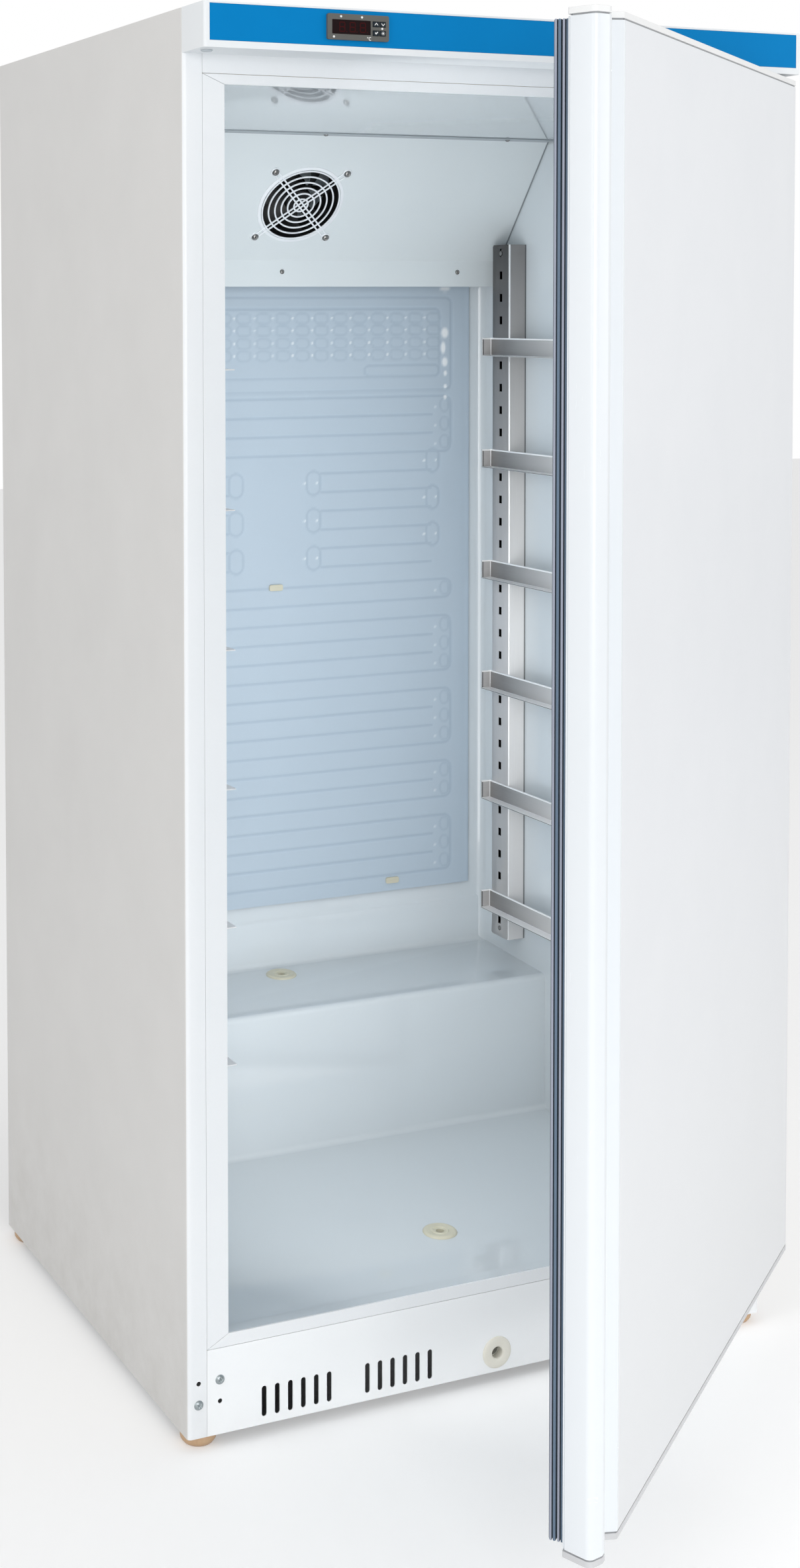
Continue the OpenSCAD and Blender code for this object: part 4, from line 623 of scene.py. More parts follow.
# three digits sunk in the window, discs for the lights, and a ring and an open arc for the degree sign and C
def controllerMarks():
    front, raised = controller["front"], controller["front"] - controller["markRise"]
    digits, sign, letter = controller["digits"], controller["degreeSign"], controller["letter"]
    parts = []
    for k in (-1, 0, 1):
        middle = np.array(controller["window"]) + [digits["shift"] + k * digits["pitch"], 0]
        for outline in digitOutlines(middle):
            parts.append(frontMark(outline, front + digits["sunk"], digits["rise"]))
    for light in controller["lights"]:
        disc = circleAt(light, controller["lightRadius"], 20)
        parts.append(frontMark(disc, front, controller["lightRise"]) + ("markPaint",))
    outer, inner = (circleAt(sign["middle"], sign[edge], 16) for edge in ("outer", "inner"))
    section = ((outer, front), (outer, raised), (inner, raised), (inner, front))
    grid = np.stack([np.insert(ring, 1, depth, axis=1) for ring, depth in section])
    points, faces = sheetOf(grid, closeU=True, closeV=True)
    parts.append((atFront(points), faces, "markPaint"))
    a = np.radians(np.linspace(letter["openDegrees"], 360 - letter["openDegrees"], 18))
    arc = np.stack([letter["narrow"] * np.cos(a), np.sin(a)], -1)
    outline = np.concatenate([letter["outer"] * arc, letter["inner"] * arc[::-1]]) + letter["middle"]
    parts.append(frontMark(outline, front, controller["markRise"]) + ("markPaint",))
    return parts


makePiece("controller_marks", controllerMarks(), "unlitDigit", "cabinet")
dressNode("controller_case", "bezelPlastic", "grey_plastic", 0.6, 3)
dressNode("display_window", "windowPlastic", "display", 0.2)

# symbols on the keys, in millimetres from each key's middle: up, down, a sun for the timer, a tick for set
keyMiddles = {"key_up": (-214.9, 1830.8), "key_down": (-205.3, 1830.8), "key_set": (-214.9, 1819.6),
              "key_timer": (-205.3, 1819.6)}
chevron = np.array([[-2.3, -1.2], [0, 1.4], [2.3, -1.2], [2.3, 0.2], [0, 2.6], [-2.3, 0.2]]) - [0, 0.6]
keySymbols = {
    "key_up": [chevron], "key_down": [chevron * [1, -1]],
    "key_set": [np.array([[-2.2, 0.2], [-1.2, 1.2], [-0.4, 0.2], [1.6, 2.0], [2.4, 1.1], [-0.4, -1.8]])],
    "key_timer": [turnedForm([[1.2, 0]], 14)[0, :, :2]] + [
        segmentOutline(*(reach * np.array([math.cos(a), math.sin(a)]) for reach in (1.6, 2.6)), 0.5)
        for a in np.linspace(0, 2 * math.pi, 8, endpoint=False)
    ],
}
for key, middle in keyMiddles.items():
    dressNode(key, "keyRubber", "key_rubber", 0.5, 3)
    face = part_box(key)[0].y * 1000 - cabinetFront
    marks = [frontMark(outline + np.array(middle), face + 0.02, 0.1) for outline in keySymbols[key]]
    makePiece(key + "_symbol", marks, "markPaint", key)
print("controller done")

# Fan cover: a sheet that slopes down from the ceiling to its foot on the back wall
coverPlan = {
    "slope": 51.6, "footDepth": 634.0, "footZ": 1549.0, "thickness": 1.5, "ceilingZ": 1756.0,
    "ceilingSlope": 2.0, "screwsX": (-332.0, -10.0, 312.0), "lowScrewZ": 1531.0, "topScrewGap": 8.0,
    "topScrewDepth": 1.2,
}
slope, ceilingTilt = math.radians(coverPlan["slope"]), math.radians(coverPlan["ceilingSlope"])

# the fan stands on it: x across, y up the slope, height out of its face
fanUp = 109.5
fanPlane = {
    "origin": (-10.0, coverPlan["footDepth"] - math.cos(slope) * fanUp,
               coverPlan["footZ"] + math.sin(slope) * fanUp),
    "xAxis": (1.0, 0.0, 0.0), "yAxis": (0.0, -math.cos(slope), math.sin(slope)),
}
fanLook = {
    "coverPaint": {
        "colour": (223, 229, 231), "second": (212, 220, 223), "contrast": 0.8, "roughness": 0.32,
        "smear": 0.1, "waves": (2.2, 8.0, 8.0), "waveDepth": 0.35,
        # its joint bands paint the outer 1.5 mm at each end dark and the flange above 1.7373 m grey
        "joints": [(0, 0.3905, 0.3916, (96, 104, 110)), (2, 1.7368, 1.7373, (152, 160, 166))],
    },
    "grillePlastic": {
        "colour": (240, 243, 246), "second": (228, 233, 238), "grainScale": 1500.0, "roughness": 0.32,
        "smear": 0.12,
    },
    "blackPlastic": {
        "colour": (14, 14, 16), "second": (8, 8, 10), "contrast": 1.6, "grainScale": 1200.0,
        "grainDepth": 0.05, "roughness": 0.5, "smear": 0.12, "dust": 0.06, "dustReach": 0.05,
    },
    "motorPaint": {
        "colour": (36, 38, 42), "second": (26, 28, 31), "contrast": 1.6, "grainDepth": 0.04,
        "roughness": 0.42, "smear": 0.15,
    },
    "screwSteel": {
        "colour": (158, 157, 155), "second": (122, 121, 119), "contrast": 2.0, "roughness": 0.26,
        "smear": 0.2, "metallic": 1.0,
    },
    "screwZinc": {
        "colour": (172, 180, 182), "second": (142, 150, 153), "contrast": 2.0, "roughness": 0.3,
        "smear": 0.2, "metallic": 0.85,
    },
}
makeFinishes(fanLook)
dressNode("fan_cover", "coverPaint", "cover_steel", 0.35)
dressNode("fan_housing", "blackPlastic", "black_plastic", 0.6)
dressNode("fan_motor", "motorPaint", "motor_steel", 0.5)


# points on the fan's plane carried to the shared frame
def onFan(points):
    return atFront(onPlane(points, fanPlane["origin"], fanPlane["xAxis"], fanPlane["yAxis"]))


grille = {
    "rings": 6, "firstRadius": 13.0, "lastRadius": 66.0, "width": 2.6, "height": 2.4, "armGap": 7.0,
    "armReach": 87.0, "lugRadius": 7.5, "lugPitch": 124.0, "lugHeight": 2.4, "lugEdge": 0.8,
    "flange": (67.0, 72.0, 1.4), "flangeSoft": (1.0, 0.6), "armDrop": 0.2,
}
corners = ((-1, -1), (1, -1), (1, 1), (-1, 1))  # the grille's four lugs, by their sides


# a bar's rounded section: a circle squashed to the bar's width and height, with squared shoulders
def barSection(width, height, steps=12):
    a = np.linspace(0, 2 * math.pi, steps, endpoint=False)
    square = lambda v: np.sign(v) * np.abs(v) ** 0.6
    return np.stack([square(np.cos(a)) * width / 2, height / 2 + square(np.sin(a)) * height / 2], -1)


# rings and a flange turned round the middle, bars laid across it in pairs, and a lug at each corner
def grilleParts():
    parts = []
    section = barSection(grille["width"], grille["height"])
    for radius in np.linspace(grille["firstRadius"], grille["lastRadius"], grille["rings"]):
        ring = turnedForm(section + [radius - grille["width"] / 2, 0], 72)
        parts.append(sheetOf(ring, closeU=True, closeV=True))
    inner, outer, thick = grille["flange"]
    edge, share = grille["flangeSoft"]
    rim = [[inner, 0], [outer, 0], [outer, thick * share], [outer - edge, thick], [inner, thick]]
    parts.append(sheetOf(turnedForm(rim, 72), closeU=True, closeV=True))
    arm = barSection(grille["width"], grille["height"] - grille["armDrop"])
    reach = np.linspace(-grille["armReach"], grille["armReach"], 9)
    for a in np.radians([45, 135]):
        along, side = np.array([math.cos(a), math.sin(a)]), np.array([-math.sin(a), math.cos(a)])
        for offset in (-grille["armGap"] / 2, grille["armGap"] / 2):
            base = reach[:, None, None] * along + (offset + arm[:, 0])[None, :, None] * side
            height = np.broadcast_to(arm[:, 1][None, :, None], base.shape[:2] + (1,))
            parts.append(closedForm(np.concatenate([base, height], -1)))
    radius, top, edge = grille["lugRadius"], grille["lugHeight"], grille["lugEdge"]
    for side in corners:
        lug = turnedForm([[0, 0], [radius, 0], [radius, top - edge], [radius - edge, top], [0, top]], 28)
        points, faces = sheetOf(lug, closeV=True)
        parts.append((points + [*np.array(side) * grille["lugPitch"] / 2, 0], faces))
    return [(onFan(points), faces) for points, faces in parts]


makePiece("fan_grille_rings", grilleParts(), "grillePlastic", "cabinet", ["fan_grille"], 50)

impeller = {
    "blades": 7, "hubRadius": 22.0, "hubLow": -30.2, "hubHigh": -6.2, "tipRadius": 63.0,
    "rootPitch": 44.0, "tipPitch": 28.0, "rootChord": 13.0, "tipChord": 18.5, "thickness": 1.7, "sweep": 22.0,
    "belly": 1.6, "bladeLow": -29.5, "bladeHigh": -7.0, "rootInset": 2.0,
}


# a blade: at radius r a thin lens-shaped section, pitched from its root angle to its tip angle and
# swept round
def bladeGrid(turn):
    r = np.linspace(impeller["hubRadius"] - impeller["rootInset"], impeller["tipRadius"], 12)[:, None]
    share = (r - r[0]) / (r[-1] - r[0])
    v = np.linspace(0, 2 * math.pi, 20, endpoint=False)[None, :]
    chord = impeller["rootChord"] + share * (impeller["tipChord"] - impeller["rootChord"])
    pitch = np.radians(impeller["rootPitch"] + share * (impeller["tipPitch"] - impeller["rootPitch"]))
    along = np.cos(v) * chord
    thick = np.sin(v) * impeller["thickness"] / 2 + impeller["belly"] * (1 - np.cos(v) ** 2) * share
    across = along * np.cos(pitch) - thick * np.sin(pitch)
    height = along * np.sin(pitch) + thick * np.cos(pitch)
    middle = (impeller["hubLow"] + impeller["hubHigh"]) / 2
    angle = turn + np.radians(impeller["sweep"]) * share + across / r
    height = np.clip(middle + height, impeller["bladeLow"], impeller["bladeHigh"])
    return np.stack([r * np.cos(angle), r * np.sin(angle), height], -1)


# a hub turned round the axle, and its blades at even angles
def impellerParts():
    low, high, hub = impeller["hubLow"], impeller["hubHigh"], impeller["hubRadius"]
    profile = [[2.1, low], [hub - 2, low], [hub, low + 2], [hub, high - 4], [hub - 1.2, high - 1.2],
               [hub - 4, high], [9, high], [8, high - 1.5], [2.1, high - 1.5], [2.1, low]]
    points, faces = sheetOf(turnedForm(profile, 56), closeV=True)
    parts = [(onFan(points), faces)]
    for k in range(impeller["blades"]):
        points, faces = closedForm(bladeGrid(2 * math.pi * k / impeller["blades"]))
        parts.append((onFan(points), faces))
    return parts


makePiece("fan_impeller_blades", impellerParts(), "blackPlastic", "impeller",
          ["fan_impeller"])

screws = {
    "fan": {"head": 6.0, "rise": 4.0, "shank": 2.1, "length": 16.0},
    "cover": {"head": 4.0, "rise": 2.6, "shank": 2.1, "length": 12.0},
    "hinge": {"head": 6.5, "rise": 3.4, "shank": 2.9, "length": 14.0},
    "header": {"head": 6.5, "rise": 2.6, "shank": 2.9, "length": 10.0},
}

# the dome's roundness, and the driven cross as shares of the head's radius and of its rise, with the falls
# of its sides and of its ends
screwHead = {"roundness": 0.62, "armShare": 0.16, "reachShare": 0.52, "depthShare": 0.55,
             "sideFall": (1.3, 1.0), "endFall": (1.6, 1.5)}


# a domed head with a cross driven into it: over a polar grid the dome's height less a groove along two lines
def screwForm(kind, turn=0.3, rings=9, spokes=40):
    size = screws[kind]
    share = np.linspace(0, 1, rings)[:, None]
    angle = np.linspace(0, 2 * math.pi, spokes, endpoint=False)[None, :]
    r = size["head"] * share
    x, y = r * np.cos(angle), r * np.sin(angle)
    cx = np.abs(x * math.cos(turn) + y * math.sin(turn))
    cy = np.abs(-x * math.sin(turn) + y * math.cos(turn))
    dome = size["rise"] * (1 - share ** 2) ** screwHead["roundness"]
    fall = lambda start, slant, far: np.clip(start - slant * far, 0, 1)
    sides = fall(*screwHead["sideFall"], np.minimum(cx, cy) / (size["head"] * screwHead["armShare"]))
    ends = fall(*screwHead["endFall"], np.maximum(cx, cy) / (size["head"] * screwHead["reachShare"]))
    head = np.stack([x, y, dome - size["rise"] * screwHead["depthShare"] * sides * ends], -1)
    side = turnedForm([[size["head"], 0], [size["shank"], 0], [size["shank"], -size["length"]],
                       [0, -size["length"]]], spokes)
    return sheetOf(np.concatenate([head, side]), closeV=True)


# a screw on a plane, with its shank no longer than a depth
def screwAt(kind, place, xAxis, yAxis, turn=0.3, deepest=100.0):
    points, faces = screwForm(kind, turn)
    points[:, 2] = np.maximum(points[:, 2], -deepest)
    return atFront(onPlane(points, place, xAxis, yAxis)), faces


fanScrewParts = []
for k, side in enumerate(corners):
    points, faces = screwForm("fan", 0.3 + 0.9 * k)
    onLug = [*np.array(side) * grille["lugPitch"] / 2, grille["lugHeight"]]
    fanScrewParts.append((onFan(points + onLug), faces))
makePiece("fan_screw_heads", fanScrewParts, "screwSteel", "cabinet", ["fan_screws"])

# where the cover's line, one thickness down, meets the ceiling's line
topDepth = (coverPlan["footZ"] + math.tan(slope) * coverPlan["footDepth"] - coverPlan["ceilingZ"]
            + coverPlan["thickness"]) / (math.tan(slope) - math.tan(ceilingTilt)) - coverPlan["topScrewGap"]
topZ = coverPlan["ceilingZ"] - math.tan(ceilingTilt) * topDepth - coverPlan["thickness"]
alongCeiling = (0.0, -math.cos(ceilingTilt), math.sin(ceilingTilt))
coverScrewParts = []
for k, x in enumerate(coverPlan["screwsX"]):
    lowPlace, topPlace = (x, coverPlan["footDepth"], coverPlan["lowScrewZ"]), (x, topDepth, topZ)
    coverScrewParts.append(screwAt("cover", lowPlace, (1, 0, 0), (0, 0, 1), 0.5 * k))
    coverScrewParts.append(screwAt(
        "cover", topPlace, (1, 0, 0), alongCeiling, 0.7 * k, coverPlan["topScrewDepth"]
    ))
makePiece("cover_screw_heads", coverScrewParts, "screwSteel", "cabinet", ["cover_screws"])
print("fan done")

# Evaporator: a thin painted plate whose channels are blown up between thin pressed lines.
# Ovals, loops and bars are given by x, half their width, half their height and the corner's radius.
evaporator = {
    "half": 363.0, "low": 492.0, "high": 1560.0, "face": 683.5, "back": 685.0, "rise": 1.4,
    "pitch": 31.0, "firstLine": 518.5, "lineHalf": 1.1, "lineSoft": 1.6, "innerReach": 292.0,
    "outerReach": 328.0, "outerCorner": 12, "barHalf": 0.1,
    "groups": [(0, 3), (4, 6), (7, 10), (11, 14), (15, 16), (23, 26)],  # first and last line of each group
    "sideOval": (316, 8, 11, 7.9), "loopLines": range(17, 23), "loopBar": (187, 103), "loop": (12, 19, 11),
    "loopRight": 293.0, "loopLeft": 70.0,
    "frames": [(328, 1335, 1490, 10), (306, 1358, 1471, 9)], "longOval": (235, 1368, 70, 9.5, 9),
    "rowsOfOvals": (1395.0, 1415.0, 1436.0, 1456.0), "ovalPitch": 35.0, "ovalFrom": 295.0, "ovalsReach": 311,
    "oval": (12.5, 8.0), "ovalCorner": 7.9, "dentFrom": 277.5, "dentsReach": 300, "loopDents": (-16.0, 6.0),
    "sideDent": (298.0, -4), "sideOvalWeight": 0.8, "ovalWeight": 0.75, "borderWeight": 0.8, "border": 1.0,
    "rowDentLook": (0.8, 1.7), "loopDentLook": (0.8, 1.6), "sideDentLook": (0.6, 1.5),  # brightness, radius
    "levels": {"plain": 0.6, "line": 0.42, "glint": 0.2}, "flatEdge": (6, 10), "onFace": 0.3,
    "spots": [(316, 1503, 9, 3.2), (316, 1430, 6, 8), (313, 1405, 4, 9), (316, 1381, 5, 7),
              (317, 1362, 3, 4), (317, 1340, 3, 3), (317, 1322, 3, 3)],
    "paint": {
        "colour": (191, 205, 217), "second": (184, 199, 212), "grainScale": 700.0, "roughness": 0.34,
        "smear": 0.1, "smearScale": 5.0, "specular": 0.4, "waves": (4.0, 4.0, 9.0), "waveDepth": 0.3,
    },
    # the pressed lines are painted darker, a painted shade in the grooves, and the dents and glint spots near
    # white, painted highlights
    "lineColour": (150, 170, 188), "glintColour": (250, 253, 255), "lineShare": 0.34, "glintShare": 0.9,
}


# distance to a rounded rectangle: how far a point lies outside its corners' circles
def roundedDistance(x, z, middleX, middleZ, halfX, halfZ, radius):
    dx = np.abs(x - middleX) - halfX + radius
    dz = np.abs(z - middleZ) - halfZ + radius
    outside = np.sqrt(np.maximum(dx, 0) ** 2 + np.maximum(dz, 0) ** 2)
    return outside + np.minimum(np.maximum(dx, dz), 0) - radius


# 1 on a line and 0 away from it, with a soft edge
def softLine(distance):
    t = np.clip(1 - (np.abs(distance) - evaporator["lineHalf"]) / evaporator["lineSoft"], 0, 1)
    return t * t * (3 - 2 * t)


# the height of a line by its number, counted up from the lowest
def lineZ(k):
    return evaporator["firstLine"] + k * evaporator["pitch"]


# how far x lies from the nearest of a row of places, one oval's pitch apart
def fromNearest(x, start):
    near = (x - start) / evaporator["ovalPitch"]
    return (near - np.round(near)) * evaporator["ovalPitch"]


# the loops lie at the right and at the left in turn
def loopSide(k):
    return evaporator["loopRight"] if k % 2 == 0 else evaporator["loopLeft"]


# the pressed lines: outlines of the channel groups, lines between channels, loops, ovals and frames
def evaporatorLines(x, z):
    ax = np.abs(x)
    bar = evaporator["barHalf"]
    lines = np.zeros_like(x)
    for first, last in evaporator["groups"]:
        middle, half = (lineZ(first) + lineZ(last)) / 2, (lineZ(last) - lineZ(first)) / 2
        outline = roundedDistance(x, z, 0, middle, evaporator["outerReach"], half, evaporator["outerCorner"])
        lines = np.maximum(lines, softLine(outline))
        ovalX, *ovalSize = evaporator["sideOval"]
        for k in range(first, last):
            if k > first:
                between = roundedDistance(x, z, 0, lineZ(k), evaporator["innerReach"], bar, bar)
                lines = np.maximum(lines, softLine(between))
            oval = roundedDistance(ax, z, ovalX, lineZ(k + 0.5), *ovalSize)
            lines = np.maximum(lines, evaporator["sideOvalWeight"] * softLine(oval))
    for k in evaporator["loopLines"]:
        barX, barReach = evaporator["loopBar"]
        lines = np.maximum(lines, softLine(roundedDistance(ax, z, barX, lineZ(k), barReach, bar, bar)))
        loop = roundedDistance(ax, z, loopSide(k), lineZ(k + 0.5), *evaporator["loop"])
        lines = np.maximum(lines, softLine(loop))
    for halfX, low, high, corner in evaporator["frames"]:
        frame = roundedDistance(x, z, 0, (low + high) / 2, halfX, (high - low) / 2, corner)
        lines = np.maximum(lines, softLine(frame))
    lines = np.maximum(lines, softLine(roundedDistance(ax, z, *evaporator["longOval"])))
    near = fromNearest(x, evaporator["ovalFrom"])
    for row in evaporator["rowsOfOvals"]:
        oval = roundedDistance(near, z, 0, row, *evaporator["oval"], evaporator["ovalCorner"])
        lines = np.maximum(lines, evaporator["ovalWeight"] * (ax < evaporator["ovalsReach"]) * softLine(oval))
    border = softLine(ax - evaporator["half"] + evaporator["border"])
    return np.maximum(lines, evaporator["borderWeight"] * border)


# small dents beside the ovals and the loops, and broad glints in the frame's right end: a mask that lifts the
# face a little and is painted near white, a painted highlight
def evaporatorGlints(x, z):
    glints = np.zeros_like(x)
    dent = lambda dx, dz, bright, radius: bright * np.clip(1.6 - np.hypot(dx, dz) / radius, 0, 1)
    near, within = fromNearest(x, evaporator["dentFrom"]), np.abs(x) < evaporator["dentsReach"]
    for row in evaporator["rowsOfOvals"]:
        glints = np.maximum(glints, within * dent(near, z - row, *evaporator["rowDentLook"]))
    for k in evaporator["loopLines"]:
        for shift in evaporator["loopDents"]:
            atX, atZ = loopSide(k) + shift, lineZ(k + 0.5)
            glints = np.maximum(glints, dent(x - atX, z - atZ, *evaporator["loopDentLook"]))
    sideX, down = evaporator["sideDent"]
    for first, last in evaporator["groups"]:
        for k in range(first, last):
            atZ = lineZ(k + 0.5) + down
            glints = np.maximum(glints, dent(x - sideX, z - atZ, *evaporator["sideDentLook"]))
    for atX, atZ, halfX, halfZ in evaporator["spots"]:
        spot = np.sqrt(((x - atX) / halfX) ** 2 + ((z - atZ) / halfZ) ** 2)
        glints = np.maximum(glints, np.clip(2.2 - 1.6 * spot, 0, 1))
    return glints


# the plate's grid, close where its lines run: x by spans with a count each, z by steps around each line
plateGrid = {
    "edges": [0, 52, 92, 276, 332, evaporator["half"]], "counts": [13, 18, 48, 24, 8],
    "steps": [-15.5, -12.0, -8.5, -5.0, -2.8, -1.3, 0.0, 1.3, 2.8, 5.0, 8.5, 12.0], "lines": 27,
    "ovals": (1338, 1492, 70), "top": (1494, evaporator["high"], 14),
}


# height of the face: the channels' level, less the pressed lines, plus the dents' rims
def evaporatorParts():
    side, low = evaporator["half"], evaporator["low"]
    edges = plateGrid["edges"]
    half = np.concatenate([
        np.linspace(a, b, n, endpoint=False) for a, b, n in zip(edges[:-1], edges[1:], plateGrid["counts"])
    ] + [[side]])
    x = np.concatenate([-half[:0:-1], half])
    lower = (lineZ(np.arange(plateGrid["lines"]))[:, None] + np.array(plateGrid["steps"])[None, :]).ravel()
    z = np.concatenate([
        [low, low + 1.0], lower[lower > low + 1], np.linspace(*plateGrid["ovals"]),
        np.linspace(*plateGrid["top"]),
    ])
    gridX, gridZ = np.meshgrid(x, z, indexing="ij")
    lines, glints = evaporatorLines(gridX, gridZ), evaporatorGlints(gridX, gridZ)
    flat, soft = evaporator["flatEdge"]
    levels = evaporator["levels"]
    fromEdge = np.clip((side - flat - np.abs(gridX)) / soft, 0, 1)
    height = evaporator["rise"] * fromEdge * (
        levels["plain"] - levels["line"] * lines + levels["glint"] * glints
    )
    front = np.stack([gridX, evaporator["face"] - height, gridZ], -1)
    points, quads = sheetOf(front)
    rows, columns = gridX.shape
    border = np.concatenate([
        np.arange(columns), np.arange(1, rows) * columns + columns - 1,
        (rows - 1) * columns + np.arange(columns - 2, -1, -1), np.arange(rows - 2, 0, -1) * columns,
    ])
    rim = points[border].copy()
    rim[:, 1] = evaporator["back"]
    count, n = len(points), len(border)
    here, ahead = np.arange(n), (np.arange(n) + 1) % n
    walls = np.stack([border[here], count + here, count + ahead, border[ahead]], -1).tolist()
    return atFront(np.concatenate([points, rim])), quads + walls + [list(range(count, count + n))]


# the paint is darker in the pressed lines, a painted shade, and near white in the dents and glints, a painted
# highlight, by two attributes of the plate's points
def evaporatorFinish():
    tree = makeFinish("evaporatorPaint", evaporator["paint"]).node_tree
    shader = tree.nodes["Principled BSDF"]
    colour = shader.inputs["Base Color"].links[0].from_socket
    for attribute, kind in (("pressedLine", "line"), ("glint", "glint")):
        mask = addNode(tree, "Attribute", {"attribute_name": attribute}).outputs["Fac"]
        share = calculate(tree, "MULTIPLY", mask, evaporator[kind + "Share"])
        colour = mixColour(tree, share, colour, evaporator[kind + "Colour"])
    tree.links.new(colour, shader.inputs["Base Color"])


evaporatorFinish()
plate = makePiece("evaporator_relief", [evaporatorParts()], "evaporatorPaint", "cabinet",
                  ["evaporator_plate"], 60)
places = toFront(readAll(plate.data.vertices, "co"))
onFace = places[:, 1] < evaporator["back"] - evaporator["onFace"]
for attribute, pattern in (("pressedLine", evaporatorLines), ("glint", evaporatorGlints)):
    layer = plate.data.attributes.new(attribute, "FLOAT", "POINT")
    layer.data.foreach_set("value", pattern(places[:, 0], places[:, 2]) * onFace)

plasticLook = {
    "ivoryPlastic": {
        "colour": (214, 211, 192), "second": (202, 198, 176), "contrast": 1.2, "grainScale": 1400.0,
        "roughness": 0.36, "smear": 0.1,
    },
    "bushingPlastic": {
        "colour": (234, 232, 222), "second": (224, 221, 208), "contrast": 1.2, "grainScale": 1400.0,
        "roughness": 0.36, "smear": 0.1,
    },
    "tubePlastic": {
        "colour": (206, 206, 200), "second": (190, 190, 182), "contrast": 1.2, "roughness": 0.4,
        "smear": 0.1,
    },
}
makeFinishes(plasticLook)
dressNode("evaporator_clips", "ivoryPlastic", "ivory_plastic", 0.7)
print("evaporator done")

# Uprights and runners of brushed stainless steel
# a painted highlight: a white band along the top of each runner's wall and stop
runnerRimHighlight = (2, 0.467, 0.185, 0.0289, 0.0013, (255, 255, 255))  # the lit rim along the top of each runner
linesUp, linesBack, linesAcross = (1800.0, 1800.0, 14.0), (1800.0, 14.0, 1800.0), (14.0, 1800.0, 1800.0)
brushedSteel = {"smear": 0.12, "brush": linesBack, "grainDepth": 0.012}
railLook = {
    # the uprights' steel is painted darker towards its top and less so towards its foot, painted shade, and
    # its joint band paints a dark line where the front face meets the wall, a painted shade
    "uprightSteel": {
        **brushedSteel, "colour": (252, 251, 250), "second": (240, 239, 238), "roughness": 0.4,
        "brush": linesUp,
        "fades": [(2, 0.95, 1.56, (132, 131, 131)), (2, 0.88, 0.45, (216, 215, 215))],
        "joints": [(0, 0.3912, 0.3922, (60, 64, 68))],
    },
    # white for the bevelled bends, a painted highlight
    "bendHighlight": {
        "colour": (255, 255, 255), "second": (253, 253, 253), "roughness": 0.28, "smear": 0.05,
        "grainDepth": 0.005, "metallic": 0.5,
    },
    # near black for the hollow behind the upright's holes, a painted shade
    "hollowShade": {
        "colour": (30, 30, 31), "second": (22, 22, 23), "contrast": 1.6, "roughness": 0.7, "smear": 0.05,
        "specular": 0.1,
    },
    # a darker copy of the steel for the perforated faces, a painted reflection of the dim cavity, darker
    # towards its top and its foot
    "uprightInnerShade": {
        **brushedSteel, "colour": (226, 223, 221), "second": (212, 209, 208), "roughness": 0.36,
        "metallic": 0.3, "brush": linesUp,
        "fades": [(2, 0.95, 1.56, (76, 75, 75)), (2, 0.9, 0.5, (186, 184, 183))],
    },
    # the runners are one steel in lit and shaded copies by the way each face looks: near white shelf tops, a
    # darker wall lighter towards the front, a darker foot and a dark shelf edge (lighter on the top runner),
    # all painted light and shade; the stop's joint bands paint a white highlight at its bend and a dark line
    # at its inner edge
    "runnerSteel": {
        **brushedSteel, "colour": (255, 254, 254), "second": (246, 245, 245), "roughness": 0.34,
    },
    "runnerWallSteel": {
        **brushedSteel, "colour": (146, 144, 143), "second": (130, 129, 128), "roughness": 0.36,
        "metallic": 0.2,
        "fades": [(1, 0.2, -0.02, (226, 225, 224))], "rimHighlights": [runnerRimHighlight],
    },
    "runnerStopSteel": {
        **brushedSteel, "colour": (196, 194, 193), "second": (184, 182, 181), "roughness": 0.38,
        "metallic": 0.2, "brush": linesAcross, "rimHighlights": [runnerRimHighlight],
        "joints": [(0, 0.3590, 0.3596, (255, 255, 255)), (0, 0.3470, 0.3464, (60, 62, 64))],
    },
    "runnerFootShade": {
        **brushedSteel, "colour": (150, 149, 148), "second": (138, 137, 136), "roughness": 0.4,
        "metallic": 0.2,
        "joints": [(0, 0.3580, 0.3588, (52, 54, 56))],
    },
    "runnerEdgeShade": {
        **brushedSteel, "colour": (72, 72, 72), "second": (60, 60, 60), "roughness": 0.4,
        "fades": [(2, 1.30, 1.36, (160, 159, 158))],
    },
}
makeFinishes(railLook)
uprightPlan = {
    "face": 362.0, "middle": 378.0, "fronts": (82.0, 552.0), "width": 52.0, "bend": 2.2, "tall": 5,
    "near": 0.2, "inwards": 2,
}
uprights = dressNode("tray_uprights", "uprightSteel", "stainless")


# the perforated faces get a darker copy of the steel, a painted reflection of the dim cavity, and the hollow
# behind the holes a near-black finish, a painted shade
def uprightFaces(middles, normals, hollow):
    depths = np.array(uprightPlan["fronts"]) + uprightPlan["width"] / 2
    nearest = depths[np.abs(middles[:, 1:2] - depths).argmin(1)]
    toX = np.sign(middles[:, 0]) * uprightPlan["middle"] - middles[:, 0]
    towards = normals[:, 0] * toX + normals[:, 1] * (nearest - middles[:, 1])
    inwards = towards > uprightPlan["inwards"]
    return inwards if hollow else ~inwards & (np.abs(normals[:, 0]) > squarely)


# the tall edges where an upright's face meets its sides, as a weight of 1
def uprightBends():
    ends = readAll(uprights.data.edges, "vertices", 2, np.int64)
    places = toFront(readAll(uprights.data.vertices, "co"))[ends]
    fronts = np.array(uprightPlan["fronts"])
    sides = np.concatenate([fronts, fronts + uprightPlan["width"]])
    onFace = np.abs(np.abs(places[..., 0]) - uprightPlan["face"]) < uprightPlan["near"]
    onSide = (np.abs(places[..., 1:2] - sides) < uprightPlan["near"]).any(-1)
    tall = np.abs(places[:, 0, 2] - places[:, 1, 2]) > uprightPlan["tall"]
    return ((onFace & onSide).all(1) & tall).astype(np.float32)


paintFaces(uprights, "uprightInnerShade", lambda middles, normals: uprightFaces(middles, normals, False))
paintFaces(uprights, "hollowShade", lambda middles, normals: uprightFaces(middles, normals, True))
uprights.data.attributes.new("bevel_weight_edge", "FLOAT", "EDGE").data.foreach_set("value", uprightBends())
